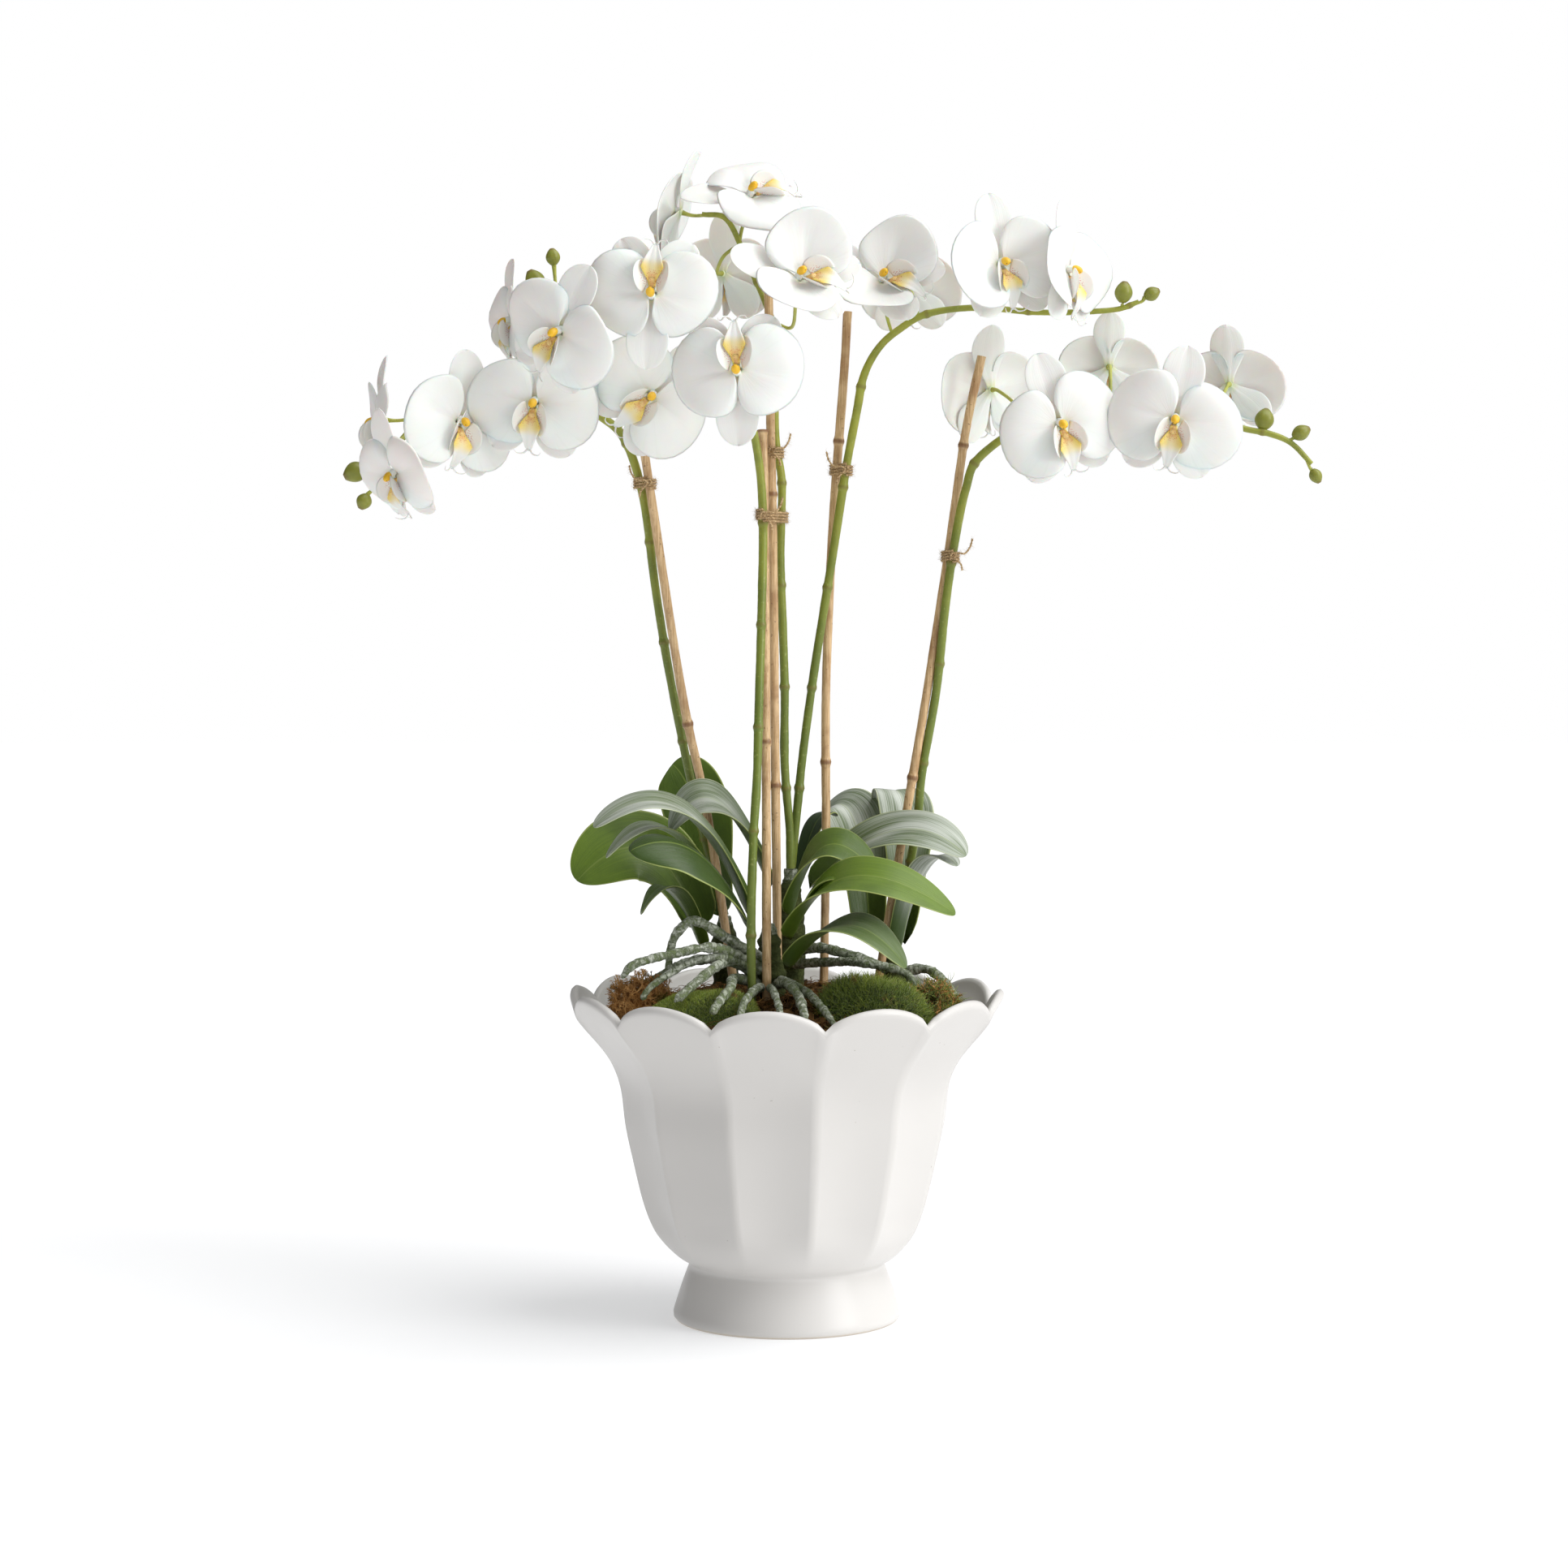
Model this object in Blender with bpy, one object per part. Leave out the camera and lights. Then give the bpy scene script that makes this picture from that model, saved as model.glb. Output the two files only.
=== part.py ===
"""Potted moth orchids: five tied flower spikes over strap leaves in a fluted white bowl.

The front of the plant is toward -Y and up is +Z. The origin is the middle of the pot's
flat underside.
"""
import math
import bpy
import bmesh
from mathutils import Matrix
from mathutils import Vector

# ---------------------------------------------------------------- driving dimensions
GAP = 0.00035                 # air between two pieces that touch
HOLE_GAP = 0.000455           # air round a piece that is pushed into the medium
POT_LOBES = 12
POT_TURN = math.radians(-5)   # middle of the first lobe, turned from the front toward +X
POT_STEPS = 3                 # points around each lobe
RIM_SCALLOP = 0.0156          # how far the rim dips between two lobes
SCALLOP_START = 0.185         # height above which the scallop pulls the wall down
RIM_HEIGHT = 0.246
FLUTE_DEPTH = 0.0065          # hollow of each flute under its ridges
NECK_HEIGHT = 0.0418
SOIL_EDGE = 0.2215            # medium's height where it meets the wall
SOIL_RISE = 0.022             # how much higher it is in the middle
SOIL_RADIUS = 0.142           # reach of the medium's dome
MOSS_LIFT = 0.0014            # air under a cushion of moss
STEM_RADIUS = 0.0032
TAPER_START = 0.45            # share of a stem that keeps its full radius
TAPER_LOSS = 0.42             # share of its radius that it has lost at its tip
STAKE_RADIUS = 0.0033
PEDICEL_RADIUS = 0.0013
ROOT_RADIUS = 0.0034
CROWN_RADIUS = 0.011
TIE_HEIGHT = 0.008
TIE_THICKNESS = 0.0022
TIE_CLEARANCE = 0.0006
TIE_SIDES = 10                # flats of the band round each stem
PETAL_THICKNESS = 0.0014
LEAF_THICKNESS = 0.0026
LEAF_KEEL = 0.45              # how far a leaf's edges are lifted at its base

# Outer wall of the pot, radius and height, from the rim down to the edge of the foot.
POT_OUTSIDE = [
    (0.1600, 0.2460), (0.1606, 0.2384), (0.1446, 0.2160), (0.1314, 0.1936),
    (0.1242, 0.1736), (0.1206, 0.1457), (0.1153, 0.1208), (0.1081, 0.0905),
    (0.1007, 0.0704), (0.0930, 0.0588), (0.0828, 0.0485), (0.0725, NECK_HEIGHT),
    (0.0841, 0.0083), (0.0847, 0.0022), (0.0815, 0.0),
]
# Inner wall of the pot, radius and height, from the floor up to the rim.
POT_INSIDE = [
    (0.0768, 0.0083), (0.0650, 0.0430), (0.0925, 0.0704), (0.1080, 0.1208),
    (0.1169, 0.1736), (0.1237, 0.1936), (0.1360, 0.2160), (0.1522, 0.2384),
    (0.1560, 0.2448),
]

WHITE_GLAZE = ("white_glaze", (0.84, 0.84, 0.83), 0.25)
BARK = ("bark", (0.16, 0.09, 0.045), 0.9)
MOSS = ("green_moss", (0.12, 0.17, 0.05), 0.95)
LICHEN = ("reindeer_moss", (0.42, 0.25, 0.09), 0.95)
ROOT = ("root", (0.24, 0.29, 0.14), 0.7)
LEAF = ("leaf", (0.09, 0.14, 0.03), 0.4)
STEM = ("stem", (0.22, 0.27, 0.07), 0.5)
BAMBOO = ("bamboo", (0.60, 0.42, 0.20), 0.5)
TWINE = ("jute_twine", (0.45, 0.30, 0.14), 0.9)
PETAL = ("petal", (0.86, 0.86, 0.84), 0.5)

# ---------------------------------------------------------------- scene and collections
for old in list(bpy.data.objects):
    bpy.data.objects.remove(old, do_unlink=True)

PLANT = bpy.data.collections.new("potted_orchid")
CUTTERS = bpy.data.collections.new("cutters")
bpy.context.scene.collection.children.link(PLANT)
bpy.context.scene.collection.children.link(CUTTERS)


def material(finish):
    name, colour, roughness = finish
    found = bpy.data.materials.get(name)
    if found:
        return found
    made = bpy.data.materials.new(name)
    made.use_nodes = True
    shader = made.node_tree.nodes["Principled BSDF"]
    shader.inputs["Base Color"].default_value = (*colour, 1.0)
    shader.inputs["Roughness"].default_value = roughness
    shader.inputs["Metallic"].default_value = 0.0
    return made


def add_piece(name, mesh, finish):
    """Put a finished mesh in the plant's collection under its own name and material."""
    piece = bpy.data.objects.new(name, mesh)
    PLANT.objects.link(piece)
    mesh.materials.clear()
    mesh.materials.append(material(finish))
    mesh.shade_smooth()
    mesh.set_sharp_from_angle(angle=math.radians(50))
    return piece


def add_cutter(name, mesh):
    cutter = bpy.data.objects.new(name, mesh)
    cutter.hide_render = True
    cutter.display_type = "WIRE"
    CUTTERS.objects.link(cutter)
    return cutter


# ---------------------------------------------------------------- mesh building
def mesh_from(bm, name):
    bmesh.ops.recalc_face_normals(bm, faces=bm.faces)
    mesh = bpy.data.meshes.new(name)
    bm.to_mesh(mesh)
    bm.free()
    return mesh


def loft(name, rings):
    """A closed body through rings of points, each ring with the same number of points."""
    bm = bmesh.new()
    rows = [[bm.verts.new(point) for point in ring] for ring in rings]
    count = len(rows[0])
    for lower, upper in zip(rows, rows[1:]):
        for i in range(count):
            j = (i + 1) % count
            bm.faces.new((lower[i], lower[j], upper[j]))
            bm.faces.new((lower[i], upper[j], upper[i]))
    bm.faces.new(list(reversed(rows[0])))
    bm.faces.new(rows[-1])
    return mesh_from(bm, name)


def smooth_path(points, steps):
    """Catmull-Rom points through a route, with a number of steps between its points."""
    route = [Vector(point) for point in points]
    ends = [route[0] * 2 - route[1], *route, route[-1] * 2 - route[-2]]
    path = []
    for a, b, c, d in zip(ends, ends[1:], ends[2:], ends[3:]):
        for k in range(steps):
            t = k / steps
            path.append(0.5 * ((2 * b) + (c - a) * t + (2 * a - 5 * b + 4 * c - d) * t * t
                               + (3 * b - a - 3 * c + d) * t ** 3))
    path.append(route[-1])
    return path


def tube_mesh(name, points, radii, resolution=1):
    """A round tube with closed ends, swept along points with a radius at each."""
    curve = bpy.data.curves.new(name, "CURVE")
    curve.dimensions = "3D"
    curve.bevel_depth = 1.0
    curve.bevel_resolution = resolution
    curve.use_fill_caps = True
    spline = curve.splines.new("POLY")
    spline.points.add(len(points) - 1)
    for slot, point, radius in zip(spline.points, points, radii):
        slot.co = (*point, 1.0)
        slot.radius = radius
    return mesh_of_curve(name, curve)


def mesh_of_curve(name, curve):
    """The curve's evaluated mesh with its caps welded; the curve itself is removed."""
    holder = bpy.data.objects.new(name + "_curve", curve)
    CUTTERS.objects.link(holder)
    graph = bpy.context.evaluated_depsgraph_get()
    mesh = bpy.data.meshes.new_from_object(holder.evaluated_get(graph))
    bm = bmesh.new()
    bm.from_mesh(mesh)
    bmesh.ops.remove_doubles(bm, verts=bm.verts, dist=0.00001)
    bmesh.ops.recalc_face_normals(bm, faces=bm.faces)
    bm.to_mesh(mesh)
    bm.free()
    bpy.data.objects.remove(holder, do_unlink=True)
    bpy.data.curves.remove(curve)
    return mesh


def egg_mesh(name, centre, axis, length, width, segments=6, rings=4):
    """A bud or knob: a small sphere drawn out along an axis."""
    bm = bmesh.new()
    bmesh.ops.create_uvsphere(bm, u_segments=segments, v_segments=rings, radius=0.5)
    turn = Vector(axis).to_track_quat("Z", "Y").to_matrix().to_4x4()
    size = Matrix.Diagonal((width, width, length, 1.0))
    bmesh.ops.transform(bm, matrix=Matrix.Translation(centre) @ turn @ size, verts=bm.verts)
    return mesh_from(bm, name)


def boolean(mesh, other, operation):
    """The evaluated result of one Boolean between two meshes."""
    base = bpy.data.objects.new("base", mesh)
    tool = bpy.data.objects.new("tool", other)
    CUTTERS.objects.link(base)
    CUTTERS.objects.link(tool)
    cut = base.modifiers.new("cut", "BOOLEAN")
    cut.operation = operation
    cut.solver = "EXACT"
    cut.object = tool
    graph = bpy.context.evaluated_depsgraph_get()
    result = bpy.data.meshes.new_from_object(base.evaluated_get(graph))
    bpy.data.objects.remove(base, do_unlink=True)
    bpy.data.objects.remove(tool, do_unlink=True)
    return result


def union(meshes):
    grown = meshes[0]
    for part in meshes[1:]:
        grown = boolean(grown, part, "UNION")
    bm = bmesh.new()
    bm.from_mesh(grown)
    bmesh.ops.triangulate(bm, faces=bm.faces)
    bmesh.ops.remove_doubles(bm, verts=bm.verts, dist=0.00002)
    bmesh.ops.dissolve_degenerate(bm, edges=bm.edges, dist=0.00002)
    bm.to_mesh(grown)
    bm.free()
    return grown


# ---------------------------------------------------------------- pot
def smoothstep(low, high, value):
    t = min(1.0, max(0.0, (value - low) / (high - low)))
    return t * t * (3 - 2 * t)


def pot_angles():
    count = POT_LOBES * POT_STEPS
    first = POT_TURN - math.pi / POT_LOBES
    return [(first + math.tau * i / count, (i % POT_STEPS) / POT_STEPS) for i in range(count)]


def fluted(radius, height, angle, across):
    """A point on a pot wall. across runs 0 to 1 over a lobe, from one ridge to the next."""
    body = smoothstep(NECK_HEIGHT, 0.085, height) * (1 - smoothstep(0.17, 0.235, height))
    hollow = 1 - (2 * across - 1) ** 2
    r = radius - FLUTE_DEPTH * body * hollow
    lobe = math.sin(math.pi * across) ** 0.8
    dip = RIM_SCALLOP * smoothstep(SCALLOP_START, RIM_HEIGHT, height) * (1 - lobe)
    return Vector((r * math.sin(angle), -r * math.cos(angle), height - dip))


def pot_ring(radius, height):
    return [fluted(radius, height, angle, across) for angle, across in pot_angles()]


def build_pot():
    rings = [pot_ring(r, z) for r, z in POT_INSIDE]
    rings += [pot_ring(r, z) for r, z in POT_OUTSIDE]
    add_piece("pot", loft("pot", rings), WHITE_GLAZE)


# ---------------------------------------------------------------- growing medium and moss
def ground(x, y):
    """Height of the growing medium's domed top."""
    out = min(1.0, math.hypot(x, y) / SOIL_RADIUS)
    return SOIL_EDGE + SOIL_RISE * (1 - out * out)


def wall_ring(height):
    """Inside of the pot at one height, read along each meridian of its inner wall."""
    ring = []
    for angle, across in pot_angles():
        wall = [fluted(r, z, angle, across) for r, z in POT_INSIDE]
        for low, high in zip(wall, wall[1:]):
            if low.z <= height <= high.z:
                share = (height - low.z) / (high.z - low.z)
                ring.append(low.lerp(high, share))
                break
    return ring


def shrunk(ring, gap):
    return [Vector((p.x, p.y, p.z)) - Vector((p.x, p.y, 0)).normalized() * gap for p in ring]


def medium_mesh():
    levels = [(r, z) for r, z in POT_INSIDE if z < SOIL_EDGE]
    rings = [shrunk(pot_ring(r, z), 2 * GAP) for r, z in levels]
    for point in rings[0]:
        point.z += GAP
    edge = shrunk(wall_ring(SOIL_EDGE), 5 * GAP)
    rings.append(edge)
    for share in (0.78, 0.52, 0.25):
        rings.append([Vector((p.x * share, p.y * share, ground(p.x * share, p.y * share)))
                      for p in edge])
    return loft("growing_medium", rings)


# Outline of a cushion of moss from its underside to its crest: share of its width, of its height.
MOUND_LEVELS = [(0.35, 0.0), (1.0, 0.0), (1.03, 0.25), (0.86, 0.62), (0.55, 0.9), (0.2, 1.0)]
MOUND_WAVE = 0.06


def mound_mesh(name, x, y, width, depth, height, segments=14):
    """A cushion of moss lying on the medium."""
    rings = []
    for share, rise in MOUND_LEVELS:
        ring = []
        for i in range(segments):
            angle = math.tau * i / segments
            out = share * (1 + MOUND_WAVE * math.sin(3 * angle + 350 * x))
            px = x + width * math.cos(angle) * out
            py = y + depth * math.sin(angle) * out
            ring.append(Vector((px, py, ground(px, py) + MOSS_LIFT + height * rise)))
        rings.append(ring)
    return loft(name, rings)


# ---------------------------------------------------------------- stems, stakes and ties
# Each spike's route from its crown, out along the arch to the last bud.
SPIKE_A = [(-0.0468, 0.042, 0.2960), (-0.0656, 0.038, 0.3683), (-0.0856, 0.032, 0.4664),
           (-0.0975, 0.027, 0.5388), (-0.1065, 0.021, 0.6086), (-0.1198, 0.017, 0.6511),
           (-0.1371, 0.014, 0.6683), (-0.1617, 0.011, 0.6812), (-0.1973, 0.010, 0.6910),
           (-0.2331, 0.010, 0.6878), (-0.2628, 0.008, 0.6727), (-0.2867, 0.006, 0.6488),
           (-0.2993, 0.004, 0.6339)]
SPIKE_B = [(-0.0249, -0.062, 0.2300), (-0.0258, -0.062, 0.2953), (-0.0240, -0.058, 0.3618),
           (-0.0216, -0.054, 0.4027), (-0.0199, -0.044, 0.4674), (-0.0186, -0.034, 0.5140),
           (-0.0174, -0.022, 0.5931), (-0.0219, -0.024, 0.6432), (-0.0322, -0.030, 0.6793),
           (-0.0526, -0.036, 0.7139), (-0.0819, -0.040, 0.7340), (-0.1229, -0.040, 0.7475),
           (-0.1581, -0.040, 0.7499), (-0.1769, -0.040, 0.7428)]
SPIKE_C = [(0.0027, 0.016, 0.3332), (0.0023, 0.016, 0.3611), (-0.0015, 0.015, 0.4110),
           (-0.0015, 0.015, 0.4666), (-0.0029, 0.014, 0.5116), (-0.0047, 0.013, 0.5653),
           (-0.0036, 0.013, 0.6190), (-0.0082, 0.014, 0.6537), (-0.0094, 0.014, 0.7257),
           (-0.0129, 0.014, 0.7454), (-0.0297, 0.013, 0.7843), (-0.0443, 0.012, 0.8135),
           (-0.0626, 0.012, 0.8173)]
SPIKE_D = [(0.0036, 0.027, 0.3332), (0.0087, 0.026, 0.3855), (0.0124, 0.025, 0.4207),
           (0.0212, 0.024, 0.4846), (0.0346, 0.023, 0.5683), (0.0440, 0.022, 0.6300),
           (0.0521, 0.022, 0.6730), (0.0574, 0.022, 0.6997), (0.0681, 0.020, 0.7196),
           (0.0827, 0.018, 0.7328), (0.1042, 0.016, 0.7446), (0.1413, 0.014, 0.7489),
           (0.1896, 0.012, 0.7452), (0.2405, 0.012, 0.7470), (0.2600, 0.012, 0.7530)]
SPIKE_E = [(0.0822, 0.036, 0.2780), (0.0969, 0.030, 0.3603), (0.1011, 0.026, 0.4031),
           (0.1116, 0.020, 0.4665), (0.1178, 0.014, 0.5278), (0.1242, 0.012, 0.5735),
           (0.1323, 0.011, 0.6136), (0.1442, 0.009, 0.6400), (0.1918, 0.006, 0.6688),
           (0.2575, 0.004, 0.6757), (0.3054, 0.004, 0.6710), (0.3356, 0.002, 0.6595),
           (0.3560, 0.000, 0.6550), (0.3720, 0.000, 0.6480), (0.3867, 0.000, 0.6330)]
SPIKES = {"a": SPIKE_A, "b": SPIKE_B, "c": SPIKE_C, "d": SPIKE_D, "e": SPIKE_E}

STAKES = {
    "a": [(-0.0264, 0.038, 0.155), (-0.0584, 0.028, 0.3665), (-0.0786, 0.022, 0.4665),
          (-0.1081, 0.010, 0.6608)],
    "b": [(-0.0137, -0.056, 0.168), (-0.0145, -0.053, 0.2451), (-0.0151, -0.034, 0.435),
          (-0.0164, -0.013, 0.5911), (-0.0176, -0.006, 0.6574)],
    "c": [(-0.0055, -0.008, 0.161), (-0.0075, -0.004, 0.3286), (-0.0087, 0.000, 0.4365),
          (-0.0099, 0.002, 0.5563), (-0.0117, 0.004, 0.6521), (-0.0134, 0.005, 0.7605)],
    "d": [(0.0263, 0.030, 0.156), (0.0294, 0.033, 0.3424), (0.0295, 0.034, 0.4663),
          (0.0348, 0.034, 0.5929), (0.0427, 0.034, 0.7007), (0.0454, 0.034, 0.7481)],
    "e": [(0.0535, 0.024, 0.157), (0.0873, 0.023, 0.3607), (0.1049, 0.021, 0.4665),
          (0.1208, 0.021, 0.5708), (0.1327, 0.020, 0.6567), (0.1447, 0.020, 0.7137)],
}

# Buds at the tips: spike, centre, length, width.
BUDS = [
    ("b", (-0.1820, -0.040, 0.7629), 0.019, 0.015),
    ("b", (-0.1690, -0.040, 0.7799), 0.014, 0.011),
    ("a", (-0.3185, 0.002, 0.6270), 0.020, 0.016),
    ("a", (-0.3120, 0.002, 0.6053), 0.014, 0.012),
    ("d", (0.2490, 0.012, 0.7602), 0.018, 0.014),
    ("d", (0.2699, 0.012, 0.7590), 0.014, 0.011),
    ("e", (0.3524, 0.004, 0.6660), 0.019, 0.015),
    ("e", (0.3790, 0.000, 0.6560), 0.016, 0.012),
    ("e", (0.3900, 0.000, 0.6240), 0.013, 0.010),
]

# Ties: what each one holds, and its height.
TIES = {
    "a": (("spike a", "stake a"), 0.6194),
    "b": (("spike b", "stake b", "stake c", "spike c"), 0.5942),
    "c": (("spike c", "stake c"), 0.6422),
    "d": (("spike d", "stake d"), 0.6299),
    "e": (("spike e", "stake e"), 0.5653),
}


def stem_path(spike):
    return smooth_path(SPIKES[spike], 1)


def stem_radius(share):
    return STEM_RADIUS * (1.0 - TAPER_LOSS * max(0.0, share - TAPER_START) / (1 - TAPER_START))


def point_at_height(path, height):
    for low, high in zip(path, path[1:]):
        if low.z <= height <= high.z:
            return low.lerp(high, (height - low.z) / (high.z - low.z))
    return path[-1]


def build_stake(name, spike):
    path = smooth_path(STAKES[spike], 1)
    add_piece(name, tube_mesh(name, path, [STAKE_RADIUS] * len(path)), BAMBOO)


def hull(points):
    """Convex outline round flat points, counter-clockwise."""
    ordered = sorted(points)

    def half(run):
        chain = []
        for p in run:
            while len(chain) > 1 and turn_of(chain[-2], chain[-1], p) <= 0:
                chain.pop()
            chain.append(p)
        return chain[:-1]

    return half(ordered) + half(ordered[::-1])


def turn_of(a, b, c):
    return (b[0] - a[0]) * (c[1] - a[1]) - (b[1] - a[1]) * (c[0] - a[0])


def tie_outline(centres, radius):
    points = []
    for centre in centres:
        for i in range(TIE_SIDES):
            angle = math.tau * (i + 0.5) / TIE_SIDES
            points.append((centre.x + radius * math.cos(angle),
                           centre.y + radius * math.sin(angle)))
    return hull(points)


def build_tie(name, held, height):
    """A band of twine drawn round the stems and stakes that it holds."""
    centres = []
    for entry in held:
        kind, letter = entry.split()
        route = stem_path(letter) if kind == "spike" else smooth_path(STAKES[letter], 1)
        for level in (height - TIE_HEIGHT / 2, height + TIE_HEIGHT / 2):
            centres.append(point_at_height(route, level))
    clear = STAKE_RADIUS / math.cos(math.pi / TIE_SIDES) + TIE_CLEARANCE
    curve = bpy.data.curves.new(name, "CURVE")
    curve.dimensions = "2D"
    curve.fill_mode = "BOTH"
    curve.extrude = TIE_HEIGHT / 2
    for radius in (clear + TIE_THICKNESS, clear):
        outline = tie_outline(centres, radius)
        spline = curve.splines.new("POLY")
        spline.points.add(len(outline) - 1)
        for slot, (x, y) in zip(spline.points, outline):
            slot.co = (x, y, 0.0, 1.0)
        spline.use_cyclic_u = True
    mesh = mesh_of_curve(name, curve)
    mesh.transform(Matrix.Translation((0, 0, height)))
    add_piece(name, mesh, TWINE)


# ---------------------------------------------------------------- flowers
# Each flower: spike, place of its centre, turn from the front toward +X in degrees, tilt
# up in degrees, roll clockwise in degrees, and size against the common one.
FLOWERS = [
    ("a", (-0.3020, 0.044, 0.6680), -75, 0, 0, 0.92),
    ("a", (-0.2400, -0.022, 0.6640), 38, -6, 10, 0.97),
    ("a", (-0.2810, -0.046, 0.6260), -52, -24, 0, 0.88),
    ("a", (-0.1830, -0.028, 0.6775), -5, -8, 8, 0.98),
    ("b", (-0.1600, -0.078, 0.7240), -30, -10, 35, 0.96),
    ("b", (-0.2010, 0.012, 0.7400), -72, -4, 0, 0.84),
    ("b", (-0.0955, -0.086, 0.7470), -5, 2, 185, 0.98),
    ("a", (-0.0980, -0.020, 0.6830), 4, -10, 50, 0.98),
    ("b", (-0.0350, -0.088, 0.6930), -5, 0, 177, 0.98),
    ("c", (-0.0280, 0.004, 0.8270), 18, 52, -90, 0.96),
    ("c", (-0.0800, 0.034, 0.8220), -100, 16, 0, 0.92),
    ("c", (-0.0480, 0.050, 0.7780), 158, 0, 0, 0.86),
    ("c", (0.0080, -0.050, 0.7620), 10, 34, -70, 0.98),
    ("d", (0.0700, 0.000, 0.7660), 0, 36, -60, 0.98),
    ("d", (0.0930, 0.062, 0.7700), 175, 5, 0, 0.80),
    ("d", (0.1540, -0.030, 0.7760), 22, 10, -10, 0.96),
    ("d", (0.2020, -0.018, 0.7730), 58, 4, 0, 0.95),
    ("e", (0.1530, 0.044, 0.6910), -150, 10, 10, 0.92),
    ("e", (0.1970, -0.036, 0.6610), 12, -4, -18, 0.98),
    ("e", (0.2420, 0.048, 0.7080), 178, 6, 0, 0.78),
    ("e", (0.2810, -0.042, 0.6640), -5, -4, 10, 0.99),
    ("e", (0.3320, 0.046, 0.6950), 168, 6, 5, 0.84),
]
PEDICEL_BACK = 0.022          # how far behind a flower its stalk straightens
PEDICEL_NECK = 0.011          # how far behind a flower its stalk runs straight in
PEDICEL_END = 0.0042          # how far behind a flower its stalk stops
PEDICEL_REACH = 0.016         # from the stem to where the stalk straightens
BUD_REACH = 0.011             # from the stem to the middle of a bud
PEDICEL_DETOURS = {           # flower place: a point its stalk goes round a stake by
    (0.0080, -0.050, 0.7620): (0.0040, 0.0060, 0.7340),
    (-0.2810, -0.046, 0.6260): (-0.2910, -0.0200, 0.6400),
}


def flower_frame(place, turn, tilt, roll):
    """Axes of a flower: local +Z faces out of the bloom and local +Y is its top."""
    turn, tilt, roll = math.radians(turn), math.radians(tilt), math.radians(roll)
    out = Vector((math.sin(turn) * math.cos(tilt), -math.cos(turn) * math.cos(tilt),
                  math.sin(tilt)))
    up = (Vector((0, 0, 1)) - out * out.z).normalized()
    side = up.cross(out)
    top = up * math.cos(roll) + side * math.sin(roll)
    right = top.cross(out)
    frame = Matrix((right, top, out)).transposed().to_4x4()
    frame.translation = Vector(place)
    return frame


TEPALS = [                    # direction in degrees, distance to middle, half length, half width
    (14, 0.0235, 0.0260, 0.0250),
    (90, 0.0240, 0.0240, 0.0135),
    (166, 0.0235, 0.0260, 0.0250),
    (234, 0.0230, 0.0235, 0.0130),
    (306, 0.0230, 0.0235, 0.0130),
]


def tepal_reach(direction, angle):
    """How far one tepal's rounded outline reaches along an angle, or zero beside it."""
    aim, middle, half_length, half_width = direction
    off = math.radians(angle - aim)
    ca, sa = math.cos(off), math.sin(off)
    if ca <= 0:
        return 0.0
    a = (ca / half_length) ** 2 + (sa / half_width) ** 2
    b = -2 * ca * middle / half_length ** 2
    c = (middle / half_length) ** 2 - 1
    inside = b * b - 4 * a * c
    if inside < 0:
        return 0.0
    return max(0.0, (-b + math.sqrt(inside)) / (2 * a))


BLOOM_SPOKES = 20
BLOOM_RINGS = (0.42, 1.0)     # shares of the outline's reach
BLOOM_MIDDLE = 0.009          # least reach of the outline, between two tepals
SIDE_RISE = 0.10              # how the sheet rises toward the petals
LOWER_DROP = 0.06             # how it drops toward the lower sepals
EDGE_CURL = 2.2               # how its edge curls back, per metre
# Lip and column, from behind the centre to the lip's point: y, z, half width, half depth.
LIP = [
    (0.006, 0.000, 0.0035, 0.003), (0.003, 0.008, 0.0040, 0.003), (-0.006, 0.010, 0.0085, 0.003),
    (-0.016, 0.011, 0.0065, 0.0025), (-0.025, 0.006, 0.0022, 0.0015),
]
LIP_SLANT = 0.001


def bloom_mesh():
    """One bloom: five tepals as one sheet, with the lip and column grown from the middle."""
    top = []
    under = []
    for share in BLOOM_RINGS:
        upper = []
        lower = []
        for i in range(BLOOM_SPOKES):
            angle = 360 * i / BLOOM_SPOKES
            reach = max(BLOOM_MIDDLE, max(tepal_reach(tepal, angle) for tepal in TEPALS)) * share
            x = reach * math.cos(math.radians(angle))
            y = reach * math.sin(math.radians(angle))
            bend = SIDE_RISE * abs(x) - LOWER_DROP * max(0.0, -y) - EDGE_CURL * reach * reach
            upper.append(Vector((x, y, bend + PETAL_THICKNESS / 2)))
            lower.append(Vector((x, y, bend - PETAL_THICKNESS / 2)))
        top.append(upper)
        under.append(lower)
    sheet = loft("bloom", [under[0], under[1], top[1], top[0]])
    lip = [[Vector((half_width, y, z)), Vector((0, y + LIP_SLANT, z + half_depth)),
            Vector((-half_width, y, z)), Vector((0, y - LIP_SLANT, z - half_depth))]
           for y, z, half_width, half_depth in LIP]
    return union([sheet, loft("lip", lip)])


def build_flower(name, bloom, frame, size):
    mesh = bloom.copy()
    mesh.transform(frame @ Matrix.Scale(size, 4))
    add_piece(name, mesh, PETAL)


def stem_joint(spike, target, reach):
    """A point inside the arched part of a stem, about a given reach from a target."""
    stem = stem_path(spike)[5:]
    inside = [a.lerp(b, share) for a, b in zip(stem, stem[1:]) for share in (0.37, 0.71)]
    return min(inside, key=lambda point: abs((point - target).length - reach))


def pedicel_path(spike, frame, place):
    """A flower stalk, from inside the stem to just behind its bloom."""
    back = frame @ Vector((0, 0, -PEDICEL_END))
    turn = frame @ Vector((0, 0, -PEDICEL_BACK))
    start = stem_joint(spike, turn, PEDICEL_REACH)
    bend = start.lerp(turn, 0.55) + Vector((0, 0, 0.002))
    if place in PEDICEL_DETOURS:
        bend = Vector(PEDICEL_DETOURS[place])
    return [start, bend, frame @ Vector((0, 0, -PEDICEL_NECK)), back]


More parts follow.
